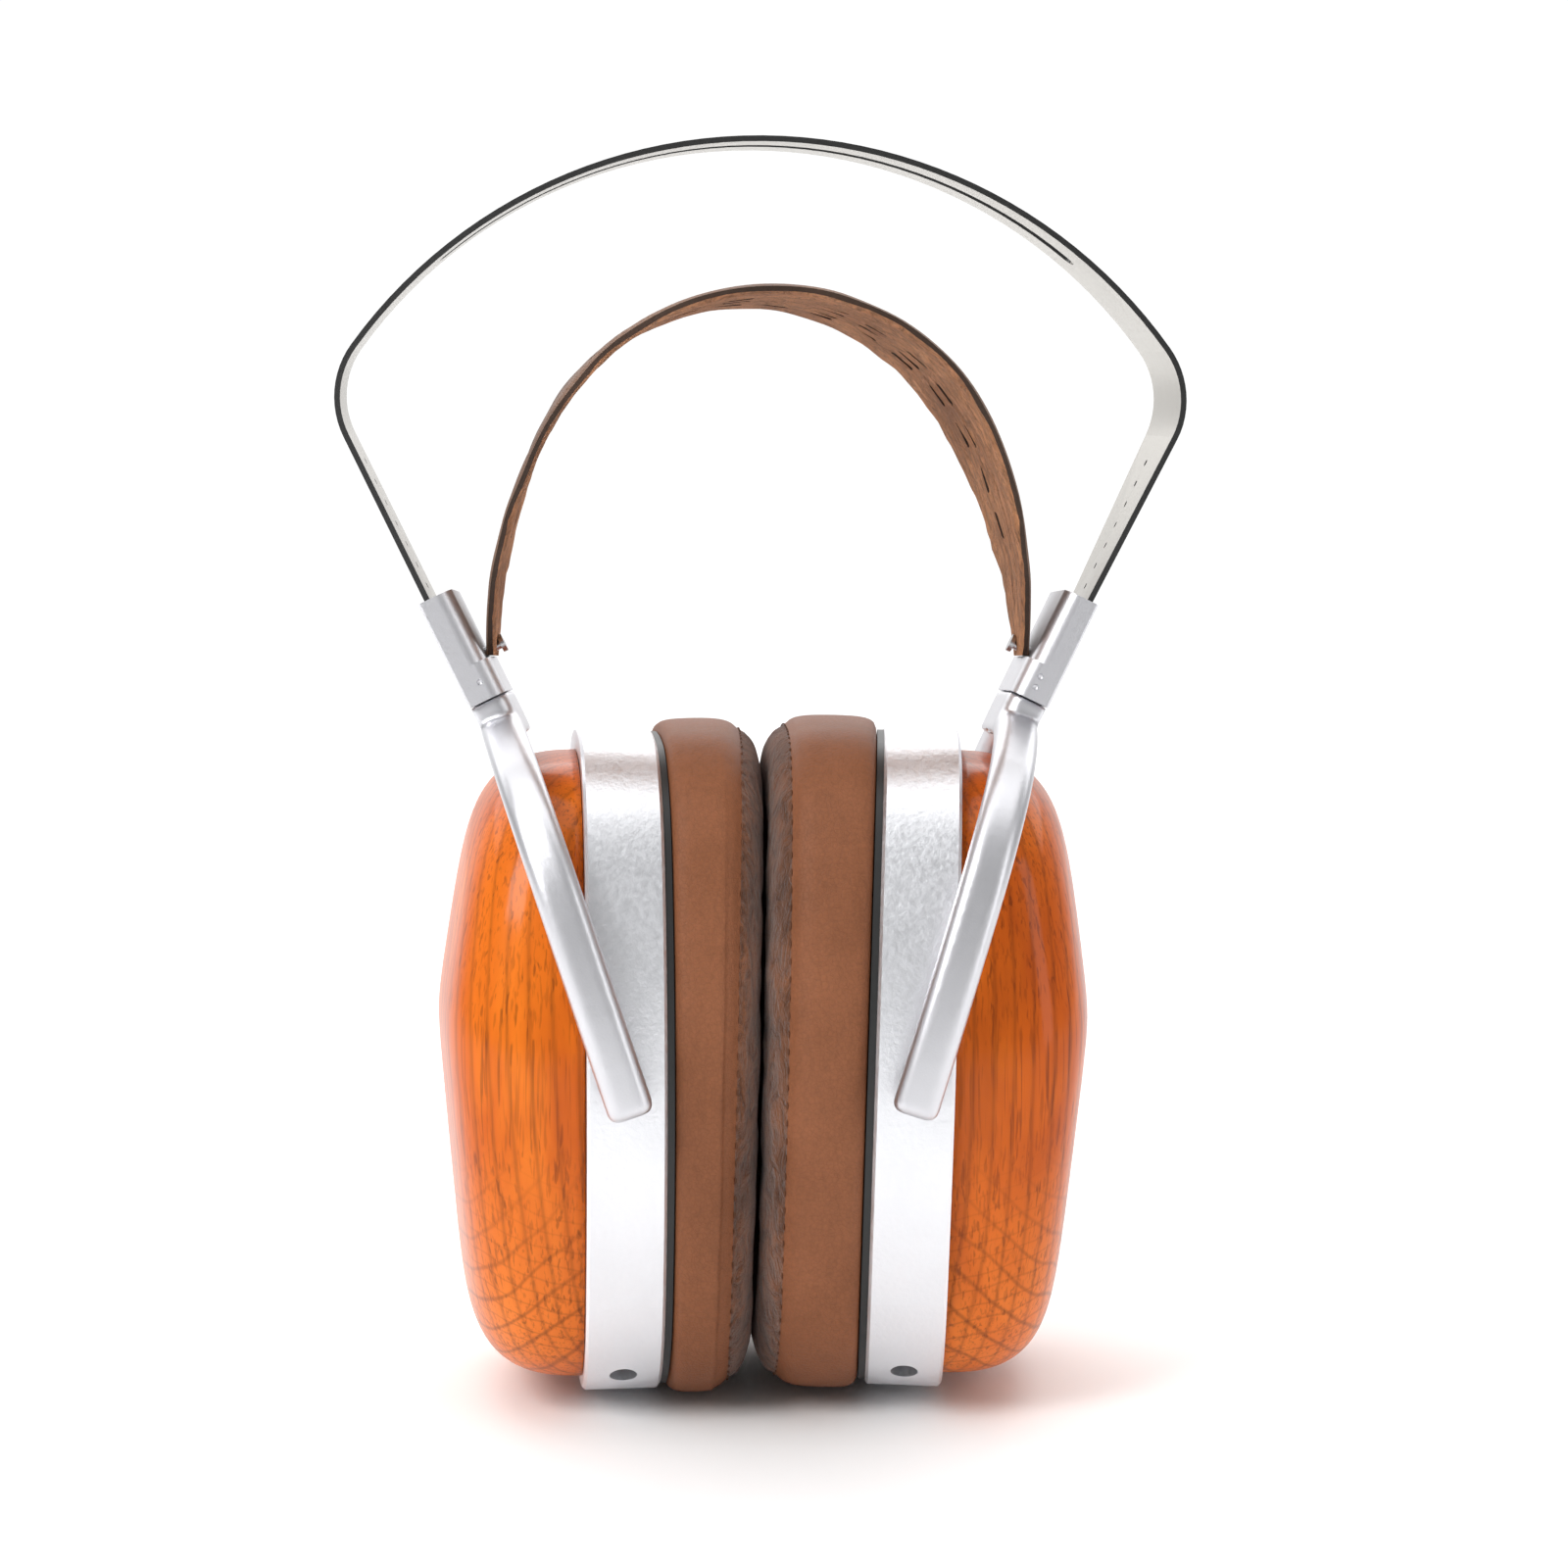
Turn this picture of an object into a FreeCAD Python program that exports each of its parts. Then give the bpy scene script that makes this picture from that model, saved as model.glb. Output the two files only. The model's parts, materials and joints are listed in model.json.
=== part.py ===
import FreeCAD, Part

import math
import os

# Over-ear headphones, in millimetres. X is the wearer's left to right, Y runs from
# front to back, Z is up. The origin is under the middle of the head opening, at the
# level on which the two cups stand. Every piece is modelled on the right and mirrored for
# the left. The right cup leans out a little more than the left one, as it rests.

# Driving dimensions: spring band
BAND_TOP = 219.0
BAND_WIDTH = 20.0
BAND_THICK = 1.0
CROWN_RADIUS = 87.0
CROWN_HALF_ANGLE = 54.0
SHOULDER_RADIUS = 15.0
LEG_ANGLE = 26.0
LEG_SHOWN = 32.6
LEG_IN_SLEEVE = 6.2
CROWN_SLOT_WIDTH = 3.6
CROWN_SLOT_ANGLE = 39.0
DETENT_PITCH = 4.05
DETENT_COUNT = 9
DETENT_DEPTH = 5.1
DETENT_RADIUS = 0.6
BALL_RADIUS = 0.9
BALL_POCKET_RADIUS = 1.0

# Driving dimensions: head strap
STRAP_TOP = 192.5
STRAP_THICK = 2.0
STRAP_CROWN_RADIUS = 42.5
STRAP_CROWN_ANGLE = 62.0
STRAP_SIDE_RADIUS = 87.0
STRAP_END_ANGLE = 88.0
STRAP_TAIL = 6.0
STRAP_HALF_WIDTH = 34.0
STRAP_END_HALF_WIDTH = 6.0

# Driving dimensions: sleeve and collar, in the leg's own frame
SLEEVE_LENGTH = 13.3
SLEEVE_WIDTH = 23.0
OUTER_FACE = 1.6
SLEEVE_INNER_FACE = -4.6
COLLAR_LENGTH = 6.6
COLLAR_INNER_FACE = -5.4
SIDE_RADIUS = 3.0
STRAP_SCREW_HEIGHT = -11.9
STRAP_SCREW_REACH = 2.9
SLOT_CLEARANCE = 0.1
SWIVEL_OFFSET = -2.6
SWIVEL_RADIUS = 1.5
SWIVEL_GAP = 0.15
SWIVEL_HEAD_RADIUS = 2.2
SWIVEL_HEAD_LENGTH = 1.9
SWIVEL_THREAD_TOP = -12.9
RUNNING_GAP = 0.05

# Driving dimensions: yoke
YOKE_ARM_WIDTH = 7.5
YOKE_ARM_DEPTH = 5.5
YOKE_EDGE_RADIUS = 2.2
YOKE_END_RADIUS = 1.6
YOKE_HEAD_LENGTH = 8.0
YOKE_TOP = 58.4
YOKE_TAIL = 5.3
YOKE_TOP_RADIUS = 80.0
YOKE_SIDE_RADIUS = 150.0
YOKE_CORNER_RADIUS = 30.0

# Driving dimensions: cup, in its own frame (u outward, v back, w up)
PIVOT_X = {"left": 27.0, "right": 28.4}
PIVOT_Z = 60.0
RING_Z = 58.4
TOE_IN = 4.1
CUP_LEAN = {"left": 0.0, "right": 1.7}
RING_HALF_DEPTH = 47.0
RING_HALF_HEIGHT = 57.5
RING_TOP_RADIUS = 110.0
RING_SIDE_RADIUS = 120.0
RING_CORNER_RADIUS = 28.0
RING_WIDTH = 13.0
RING_WALL = 4.0
RING_CHAMFER = 0.5
PIVOT_U = 7.6
JACK_U = 6.5
BUSH_RADIUS = 2.5
BUSH_FLANGE_RADIUS = 3.4
BUSH_FLANGE_TOP = 2.1
PIVOT_HEAD_RADIUS = 2.6
PIVOT_GRIP = 5.6
LEDGE_FRONT = 3.05
LEDGE_BACK = 4.5
LEDGE_REACH = 7.0
WOOD_INSET = 3.2
WOOD_DROP = 0.8
WOOD_PEAK = 37.2
WOOD_RIDGE_HEIGHT = 10.0
WOOD_UPPER_SLOPE = 9.3
WOOD_LOWER_SLOPE = 5.2
WOOD_SIDE_DROP = 5.5
WOOD_TOP_ROUNDING = 18.0
WOOD_BOTTOM_ROUNDING = 12.0
WOOD_SIDE_ROUNDING = 13.0
WOOD_RIDGE_ROUNDING = 60.0
WOOD_CROWN_ROUNDING = 90.0
WOOD_CAVITY_DEPTH = 24.0
WOOD_WALL = 6.0
YOKE_CLEARANCE = 0.7
PAD_BULGE = 0.9
PAD_PLATE = 1.2
PAD_HOLE_INSET = 17.0
PAD_MEETING_GAP = 0.15
PAD_MEETING_X = -0.7
PAD_MEETING_LEAN = 1.35
BAFFLE_SCREW_ANGLE = 62.0
BAFFLE_SCREW_RADIUS = 0.9
BAFFLE_SCREW_HEAD = 1.4
DRIVER_INSET = 14.0
DRIVER_OPENING = 18.0
MAGNET_PITCH = 6.0
MAGNET_HALF_LENGTH = 38.0
MAGNET_HALF_WIDTH = 1.4
STATOR_SLOT_HALF_LENGTH = 34.0
STATOR_SLOT_HALF_WIDTH = 1.1
STATOR_RIB = 1.5
JACK_ANGLE = 52.0
JACK_HOLE_RADIUS = 2.3
JACK_BORE_RADIUS = 1.8
JACK_BODY_RADIUS = 3.2
JACK_LENGTH = 9.2

X_AXIS = FreeCAD.Vector(1, 0, 0)
Y_AXIS = FreeCAD.Vector(0, 1, 0)
Z_AXIS = FreeCAD.Vector(0, 0, 1)
ORIGIN = FreeCAD.Vector(0, 0, 0)
ABOUT_CUP = 80.0


def vec(x, y, z):
    return FreeCAD.Vector(x, y, z)


def box(x, y, z):
    """A box between two values on each axis."""
    return Part.makeBox(x[1] - x[0], y[1] - y[0], z[1] - z[0], vec(x[0], y[0], z[0]))


def rod(radius, start, end):
    """A round bar between two points."""
    along = end - start
    return Part.makeCylinder(radius, along.Length, start, along)


def leg_placement():
    """The frame of the right leg: x outward, z up the leg, origin at the sleeve's mouth."""
    shoulder = band_point(SHOULDER_RADIUS, 90.0 + LEG_ANGLE)
    down = math.radians(LEG_ANGLE)
    base = shoulder - vec(math.sin(down), 0, math.cos(down)) * LEG_SHOWN
    return FreeCAD.Placement(base, FreeCAD.Rotation(Y_AXIS, LEG_ANGLE))


def band_point(radius, heading):
    """A point on the crown or the shoulder arc, at a heading below horizontal, mid-thickness."""
    top = vec(0, 0, BAND_TOP - BAND_THICK / 2)
    turn = math.radians(min(heading, CROWN_HALF_ANGLE))
    point = top + vec(math.sin(turn), 0, math.cos(turn) - 1) * CROWN_RADIUS
    if heading > CROWN_HALF_ANGLE:
        first, last = math.radians(CROWN_HALF_ANGLE), math.radians(heading)
        point = point + vec(math.sin(last) - math.sin(first), 0,
                            math.cos(last) - math.cos(first)) * radius
    return point


def arch_strip(top, arcs, tail, thick, width):
    """A strip bent over a symmetrical arch: arcs of (radius, end heading), then a straight tail."""
    sides = []
    for shift in (0.0, -thick):
        point = vec(0, 0, top + shift)
        heading = 0.0
        edges = []
        for radius, end in arcs:
            true_radius = radius + shift
            points = [point]
            for part in (0.5, 1.0):
                turned = math.radians(heading + (end - heading) * part)
                start = math.radians(heading)
                points.append(point + vec(math.sin(turned) - math.sin(start), 0,
                                          math.cos(turned) - math.cos(start)) * true_radius)
            edges.append(Part.Arc(*points).toShape())
            point, heading = points[-1], end
        turned = math.radians(heading)
        foot = point + vec(math.cos(turned), 0, -math.sin(turned)) * tail
        edges.append(Part.LineSegment(point, foot).toShape())
        sides.append((edges, vec(0, 0, top + shift), foot))
    (outer, outer_top, outer_foot), (inner, inner_top, inner_foot) = sides
    edges = outer + inner
    edges.append(Part.LineSegment(outer_foot, inner_foot).toShape())
    edges.append(Part.LineSegment(outer_top, inner_top).toShape())
    face = Part.Face(Part.Wire(Part.__sortEdges__(edges)))
    half = face.extrude(vec(0, width, 0))
    half.translate(vec(0, -width / 2, 0))
    return half.fuse(half.mirror(ORIGIN, X_AXIS)).removeSplitter()


def band():
    """Spring-steel strip over the head, with its crown slot and the detent holes in both legs."""
    arcs = [(CROWN_RADIUS + BAND_THICK / 2, CROWN_HALF_ANGLE),
            (SHOULDER_RADIUS + BAND_THICK / 2, 90.0 + LEG_ANGLE)]
    strip = arch_strip(BAND_TOP, arcs, LEG_SHOWN + LEG_IN_SLEEVE, BAND_THICK, BAND_WIDTH)
    end = band_point(SHOULDER_RADIUS, CROWN_SLOT_ANGLE)
    half_width = CROWN_SLOT_WIDTH / 2
    cutters = [box((-end.x, end.x), (-half_width, half_width), (end.z - 3, BAND_TOP + 3))]
    out = math.radians(CROWN_SLOT_ANGLE)
    normal = vec(math.sin(out), 0, math.cos(out)) * (3 * BAND_THICK)
    cutters.append(rod(half_width, end - normal, end + normal))
    cutters.append(cutters[-1].mirror(ORIGIN, X_AXIS))
    for step in range(DETENT_COUNT):
        height = step * DETENT_PITCH - DETENT_DEPTH
        hole = rod(DETENT_RADIUS, vec(-2, 0, height), vec(2, 0, height))
        hole.Placement = leg_placement()
        cutters += [hole, hole.mirror(ORIGIN, X_AXIS)]
    return strip.cut(cutters)


def strap():
    """Leather strap that rests on the head: narrow where it joins the sleeves, wide on top."""
    arcs = [(STRAP_CROWN_RADIUS, STRAP_CROWN_ANGLE), (STRAP_SIDE_RADIUS, STRAP_END_ANGLE)]
    strip = arch_strip(STRAP_TOP, arcs, STRAP_TAIL, STRAP_THICK, 2 * STRAP_HALF_WIDTH)
    foot = strip.BoundBox.ZMin
    rise = STRAP_TOP - foot
    points = [vec(0, STRAP_END_HALF_WIDTH, foot - 1), vec(0, STRAP_END_HALF_WIDTH, foot + 6)]
    edge = Part.Arc(points[1], vec(0, STRAP_HALF_WIDTH * 0.52, foot + rise * 0.55),
                    vec(0, STRAP_HALF_WIDTH, STRAP_TOP + 1)).toShape()
    mirrored = edge.mirror(ORIGIN, Y_AXIS)
    top = Part.LineSegment(vec(0, STRAP_HALF_WIDTH, STRAP_TOP + 1),
                           vec(0, -STRAP_HALF_WIDTH, STRAP_TOP + 1)).toShape()
    legs = [Part.LineSegment(points[0], points[1]).toShape()]
    legs.append(legs[0].mirror(ORIGIN, Y_AXIS))
    bottom = Part.LineSegment(points[0], vec(0, -STRAP_END_HALF_WIDTH, foot - 1)).toShape()
    outline = Part.Wire(Part.__sortEdges__([edge, mirrored, top, bottom] + legs))
    leaf = Part.Face(outline).extrude(vec(2 * ABOUT_CUP, 0, 0))
    leaf.translate(vec(-ABOUT_CUP, 0, 0))
    beyond = box((SLEEVE_INNER_FACE - 0.05, ABOUT_CUP), (-ABOUT_CUP, ABOUT_CUP), (-ABOUT_CUP, 5))
    over_collar = box((2 * SLEEVE_INNER_FACE, ABOUT_CUP), (-ABOUT_CUP, ABOUT_CUP),
                      (-ABOUT_CUP, 0.1 - SLEEVE_LENGTH))
    cutters = [beyond, over_collar, strap_screw()]
    for cutter in cutters:
        cutter.Placement = leg_placement()
    cutters += [cutter.mirror(ORIGIN, X_AXIS) for cutter in cutters]
    return strip.common(leaf).cut(cutters)


def rounded_bar(inner_face, outer_face, width, top, bottom):
    """The section of sleeve and collar: flat outer face, rounded inner edges."""
    half = width / 2
    bar = box((inner_face, outer_face), (-half, half), (bottom, top))
    edges = [edge for edge in bar.Edges
             if edge.BoundBox.XMax < inner_face + 0.01 and edge.BoundBox.ZLength > 1]
    bar = bar.makeFillet(SIDE_RADIUS, edges)
    edges = [edge for edge in bar.Edges
             if edge.BoundBox.XMin > outer_face - 0.01 and edge.BoundBox.ZLength > 1]
    return bar.makeFillet(0.4, edges)


def band_slot(top, bottom):
    half_thick = BAND_THICK / 2 + SLOT_CLEARANCE
    half_width = BAND_WIDTH / 2 + SLOT_CLEARANCE
    return box((-half_thick, half_thick), (-half_width, half_width), (bottom, top))


def swivel_rod(radius, bottom, top):
    """A bar on the swivel axis, in the leg's frame."""
    return rod(radius, vec(SWIVEL_OFFSET, 0, bottom), vec(SWIVEL_OFFSET, 0, top))


def swivel_screw():
    """Shoulder screw on the swivel axis: thread in the sleeve, head sunk in the yoke's bridge."""
    bottom = -SLEEVE_LENGTH - COLLAR_LENGTH - YOKE_HEAD_LENGTH
    head_top = bottom + SWIVEL_HEAD_LENGTH
    shank = swivel_rod(SWIVEL_RADIUS, bottom + 1, SWIVEL_THREAD_TOP)
    head = swivel_rod(SWIVEL_HEAD_RADIUS, bottom, head_top)
    drive = swivel_rod(0.8, bottom, bottom + 1)
    return shank.fuse(head).cut(drive).removeSplitter()


def strap_screw():
    """Screw that holds the strap's end to the sleeve's inner wall, above the swivel screw."""
    outer, inner = -2.0, SLEEVE_INNER_FACE - STRAP_SCREW_REACH
    shank = rod(0.8, vec(inner, 0, STRAP_SCREW_HEIGHT), vec(outer, 0, STRAP_SCREW_HEIGHT))
    head = rod(1.6, vec(inner - 0.8, 0, STRAP_SCREW_HEIGHT), vec(inner, 0, STRAP_SCREW_HEIGHT))
    return shank.fuse(head).removeSplitter()


def detent_pocket():
    """Blind hole in the sleeve for the ball and its spring."""
    return rod(BALL_POCKET_RADIUS, vec(SLEEVE_INNER_FACE + 0.6, 0, -DETENT_DEPTH),
               vec(0, 0, -DETENT_DEPTH))


def sleeve():
    """Block that slides on the band's leg and carries the strap's end."""
    bar = rounded_bar(SLEEVE_INNER_FACE, OUTER_FACE, SLEEVE_WIDTH, 0, -SLEEVE_LENGTH)
    swivel_bore = swivel_rod(SWIVEL_RADIUS, -SLEEVE_LENGTH - 1, SWIVEL_THREAD_TOP)
    return bar.cut([band_slot(1, -SLEEVE_LENGTH - 1), swivel_bore, detent_pocket(),
                    strap_screw()])


def collar(marks):
    """Ring under the sleeve, joined to it, with one small dimple on one side and two on the other."""
    top = -SLEEVE_LENGTH
    bottom = top - COLLAR_LENGTH
    bar = rounded_bar(COLLAR_INNER_FACE, OUTER_FACE, SLEEVE_WIDTH, top, bottom)
    cutters = [band_slot(top + 1, bottom - 1),
               swivel_rod(SWIVEL_RADIUS, bottom - 1, top + 1)]
    for index in range(marks):
        height = (top + bottom) / 2 + (index - (marks - 1) / 2) * 2.0
        cutters.append(Part.makeSphere(0.6, vec(-2.0, -SLEEVE_WIDTH / 2 - 0.25, height)))
    return bar.cut(cutters)


def detent_ball():
    """Ball that clicks into the strip's holes, drawn just clear of the strip."""
    return Part.makeSphere(BALL_RADIUS, vec(-BAND_THICK / 2 - BALL_RADIUS - 0.05, 0, -DETENT_DEPTH))


def detent_spring():
    """Small coil spring that presses the ball against the strip."""
    wire = 0.12
    length = 1.3
    path = Part.makeHelix(length / 3, length, 0.7)
    profile = Part.Wire(Part.makeCircle(wire, vec(0.7, 0, 0), Y_AXIS))
    coil = Part.Wire(path).makePipeShell([profile], True, True)
    coil.Placement = FreeCAD.Placement(vec(SLEEVE_INNER_FACE + 0.75, 0, -DETENT_DEPTH),
                                       FreeCAD.Rotation(Y_AXIS, 90))
    return coil


def meeting_point(first, first_reach, second, second_reach):
    """The far crossing of two circles in a plane, each given by its centre and radius."""
    gap_y, gap_z = second[0] - first[0], second[1] - first[1]
    gap = math.hypot(gap_y, gap_z)
    along = (gap ** 2 + first_reach ** 2 - second_reach ** 2) / (2 * gap)
    aside = math.sqrt(first_reach ** 2 - along ** 2)
    crossings = []
    for side in (-1, 1):
        crossings.append((first[0] + (gap_y * along - side * gap_z * aside) / gap,
                          first[1] + (gap_z * along + side * gap_y * aside) / gap))
    return max(crossings)


def oval_arcs(half_depth, half_height, top_radius, side_radius, corner_radius, offset):
    """A squarish oval in the y-z plane: top arc, corner arc and side arc as (centre, reach,
    start, end), with angles from the z axis, all moved out by an offset."""
    top = (0.0, half_height - top_radius)
    side = (half_depth - side_radius, 0.0)
    corner = meeting_point(top, top_radius - corner_radius, side, side_radius - corner_radius)
    top_turn = math.atan2(corner[0] - top[0], corner[1] - top[1])
    side_turn = math.atan2(corner[0] - side[0], corner[1] - side[1])
    return [(top, top_radius + offset, -top_turn, top_turn),
            (corner, corner_radius + offset, top_turn, side_turn),
            (side, side_radius + offset, side_turn, math.pi - side_turn)]


def ring_corner():
    """The centre of the ring's upper back corner arc."""
    return oval_arcs(RING_HALF_DEPTH, RING_HALF_HEIGHT, RING_TOP_RADIUS, RING_SIDE_RADIUS,
                     RING_CORNER_RADIUS, 0.0)[1][0]


def arc_points(centre, reach, start, end):
    """Start, middle and end of an arc in the y-z plane."""
    return [(centre[0] + reach * math.sin(turn), centre[1] + reach * math.cos(turn))
            for turn in (start, (start + end) / 2, end)]


def oval_prism(start, end, offset):
    """The ring's outline, moved out by an offset, from one u to another."""
    top, corner, side = [arc_points(*arc) for arc in
                         oval_arcs(RING_HALF_DEPTH, RING_HALF_HEIGHT, RING_TOP_RADIUS,
                                   RING_SIDE_RADIUS, RING_CORNER_RADIUS, offset)]
    turned = [(top, 1, 1), (top, 1, -1), (side, 1, 1), (side, -1, 1)]
    turned += [(corner, side_y, side_z) for side_y in (-1, 1) for side_z in (-1, 1)]
    edges = [Part.Arc(*[vec(start, y * side_y, z * side_z) for y, z in points]).toShape()
             for points, side_y, side_z in turned]
    face = Part.Face(Part.Wire(Part.__sortEdges__(edges)))
    return face.extrude(vec(end - start, 0, 0))


def oval_tube(start, end, outer, inner):
    return oval_prism(start, end, outer).cut(oval_prism(start - 1, end + 1, inner))


def cup_placement(side):
    """Where a cup's own frame stands, before the left one is mirrored."""
    toe = FreeCAD.Rotation(Z_AXIS, -TOE_IN)
    turn = toe.multiply(FreeCAD.Rotation(Y_AXIS, CUP_LEAN[side]))
    pivot = turn.multVec(vec(PIVOT_U, 0, PIVOT_Z - RING_Z))
    return FreeCAD.Placement(vec(PIVOT_X[side], 0, PIVOT_Z) - pivot, turn)


def pivot_rod(radius, near, far, side):
    """A bar on the tilt axis, from one distance to another, on the front or the back side."""
    height = PIVOT_Z - RING_Z
    return rod(radius, vec(PIVOT_U, side * near, height), vec(PIVOT_U, side * far, height))


def jack_rod(radius, near, far):
    """A bar on the socket's axis, with distances counted inward from the ring's outer face."""
    corner = ring_corner()
    turn = math.radians(JACK_ANGLE)
    outward = vec(0, -math.cos(turn), -math.sin(turn))
    face = vec(JACK_U, -corner[0], -corner[1]) + outward * RING_CORNER_RADIUS
    return rod(radius, face - outward * near, face - outward * far)


def baffle_screw_places():
    """Where the four screws stand on the ring's ledge, clear of the socket."""
    corner = ring_corner()
    reach = RING_CORNER_RADIUS - (RING_WALL + LEDGE_REACH) / 2
    turn = math.radians(BAFFLE_SCREW_ANGLE)
    y, z = corner[0] + reach * math.sin(turn), corner[1] + reach * math.cos(turn)
    return [(side_y * y, side_z * z) for side_y in (-1, 1) for side_z in (-1, 1)]


def baffle_screws(radius=BAFFLE_SCREW_RADIUS, head_radius=BAFFLE_SCREW_HEAD):
    """The four screws that hold the baffle, or with wider radii their holes."""
    screws = []
    for y, z in baffle_screw_places():
        shank = rod(radius, vec(1.2, y, z), vec(LEDGE_BACK - 0.1, y, z))
        screws.append(shank.fuse(rod(head_radius, vec(0.3, y, z), vec(1.2, y, z))))
    return Part.makeCompound([screw.removeSplitter() for screw in screws])


def cup_ring():
    """Aluminium ring with an inner ledge, holes for the pivot bushes and one for the jack."""
    blank = oval_prism(0, RING_WIDTH, 0)
    edges = [edge for edge in blank.Edges if edge.BoundBox.XLength < 0.01]
    blank = blank.makeChamfer(RING_CHAMFER, edges)
    ledge = oval_tube(LEDGE_FRONT, LEDGE_BACK, -RING_WALL + 0.5, -LEDGE_REACH)
    ring = blank.cut(oval_prism(-1, RING_WIDTH + 1, -RING_WALL)).fuse(ledge)
    cutters = [pivot_rod(BUSH_RADIUS, RING_HALF_DEPTH - 9, RING_HALF_DEPTH + 2, side)
               for side in (-1, 1)]
    cutters += [jack_rod(JACK_HOLE_RADIUS, -2, RING_WALL + 1)]
    cutters += [jack_rod(JACK_BODY_RADIUS + 0.2, RING_WALL, 2 * RING_WALL)]
    cutters += baffle_screws(head_radius=BAFFLE_SCREW_RADIUS).Solids
    return ring.cut(cutters)


def chain_of_arcs(corners):
    """A closed outline in a plane through corners (x, y, radius), each rounded by its radius."""
    count = len(corners)
    starts, arcs = [], []
    for index, (x, y, radius) in enumerate(corners):
        here = vec(x, y, 0)
        back = vec(corners[index - 1][0], corners[index - 1][1], 0) - here
        ahead = vec(corners[(index + 1) % count][0], corners[(index + 1) % count][1], 0) - here
        back.normalize()
        ahead.normalize()
        if radius == 0:
            starts.append((here, here))
            continue
        half = back.getAngle(ahead) / 2
        bisector = (back + ahead).normalize()
        centre = here + bisector * (radius / math.sin(half))
        reach = radius / math.tan(half)
        first, last = here + back * reach, here + ahead * reach
        arcs.append(Part.Arc(first, centre - bisector * radius, last).toShape())
        starts.append((first, last))
    lines = []
    for index, (_, leave) in enumerate(starts):
        arrive = starts[(index + 1) % count][0]
        if leave.distanceToPoint(arrive) > 1e-6:
            lines.append(Part.LineSegment(leave, arrive).toShape())
    return Part.Face(Part.Wire(Part.__sortEdges__(arcs + lines)))


def under_yoke():
    """The room that the yoke's bridge leaves free as it tilts, with all that lies below it."""
    inset = YOKE_ARM_DEPTH / 2 + YOKE_CLEARANCE
    edges = yoke_arch(-inset)
    end = yoke_reach() - inset
    edges.append(Part.LineSegment(vec(0, -end, 0), vec(0, end, 0)).toShape())
    room = Part.Face(Part.Wire(Part.__sortEdges__(edges))).revolve(ORIGIN, Y_AXIS, 90)
    room.translate(vec(PIVOT_U, 0, PIVOT_Z - RING_Z))
    level = PIVOT_Z - RING_Z
    return room.fuse(box((0, ABOUT_CUP), (-ABOUT_CUP, ABOUT_CUP), (-ABOUT_CUP, level)))


def wood_cup():
    """Hollow wooden bowl: a dome with a soft level ridge, above the middle, and a rounded rim."""
    high, deep = RING_HALF_HEIGHT - WOOD_INSET, RING_HALF_DEPTH - WOOD_INSET
    upper = WOOD_PEAK - (high + 2 - WOOD_RIDGE_HEIGHT) * math.tan(math.radians(WOOD_UPPER_SLOPE))
    lower = WOOD_PEAK - (high + 2 + WOOD_RIDGE_HEIGHT) * math.tan(math.radians(WOOD_LOWER_SLOPE))
    crown = WOOD_PEAK + 0.6
    profile = chain_of_arcs([(0, -high - 2, 0), (lower, -high - 2, WOOD_BOTTOM_ROUNDING),
                             (crown, WOOD_RIDGE_HEIGHT, WOOD_RIDGE_ROUNDING),
                             (upper, high + 2, WOOD_TOP_ROUNDING), (0, high + 2, 0)])
    side_view = profile.extrude(vec(0, 0, 2 * ABOUT_CUP))
    side_view.translate(vec(0, 0, -ABOUT_CUP))
    side_view.rotate(ORIGIN, X_AXIS, 90)
    edge = WOOD_PEAK - WOOD_SIDE_DROP
    plan = chain_of_arcs([(0, -deep - 1, 0), (edge, -deep - 1, WOOD_SIDE_ROUNDING),
                          (WOOD_PEAK + 0.4, 0, WOOD_CROWN_ROUNDING),
                          (edge, deep + 1, WOOD_SIDE_ROUNDING), (0, deep + 1, 0)])
    top_view = plan.extrude(vec(0, 0, 2 * ABOUT_CUP))
    top_view.translate(vec(0, 0, -ABOUT_CUP))
    seat = RING_WIDTH + 0.1
    dome = oval_prism(seat, WOOD_PEAK + 5, -WOOD_INSET).common(side_view).common(top_view)
    dome.translate(vec(0, 0, -WOOD_DROP))
    spigot = oval_prism(RING_WIDTH - 2.4, seat, -RING_WALL - 0.15)
    cavity = oval_prism(0, WOOD_CAVITY_DEPTH, -WOOD_INSET - WOOD_WALL)
    return dome.common(under_yoke()).fuse(spigot).cut(cavity).removeSplitter()


def baffle():
    """Plate between ear and driver, screwed to the ring's ledge."""
    plate = oval_tube(0.3, LEDGE_FRONT, -RING_WALL - 0.1, -DRIVER_OPENING)
    holes = baffle_screws(BAFFLE_SCREW_RADIUS + 0.1, BAFFLE_SCREW_HEAD + 0.1)
    return plate.cut(holes.Solids)


def driver_frame():
    return oval_tube(LEDGE_FRONT, 6.0, -DRIVER_INSET, -DRIVER_OPENING)


def diaphragm():
    """Thin film stretched over the driver's frame."""
    return oval_prism(6.0, 6.2, -DRIVER_INSET - 0.5)


def stator_plate():
    """Slotted steel plate that carries the magnets."""
    plate = oval_prism(6.2, 7.4, -DRIVER_INSET)
    slots = []
    for index in range(-4, 4):
        middle = (index + 0.5) * MAGNET_PITCH
        reach = STATOR_SLOT_HALF_LENGTH - abs(middle) * 0.35
        across = (middle - STATOR_SLOT_HALF_WIDTH, middle + STATOR_SLOT_HALF_WIDTH)
        for low, high in ((-reach, -STATOR_RIB), (STATOR_RIB, reach)):
            slots.append(box((5, 9), across, (low, high)))
    return plate.cut(slots)


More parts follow.
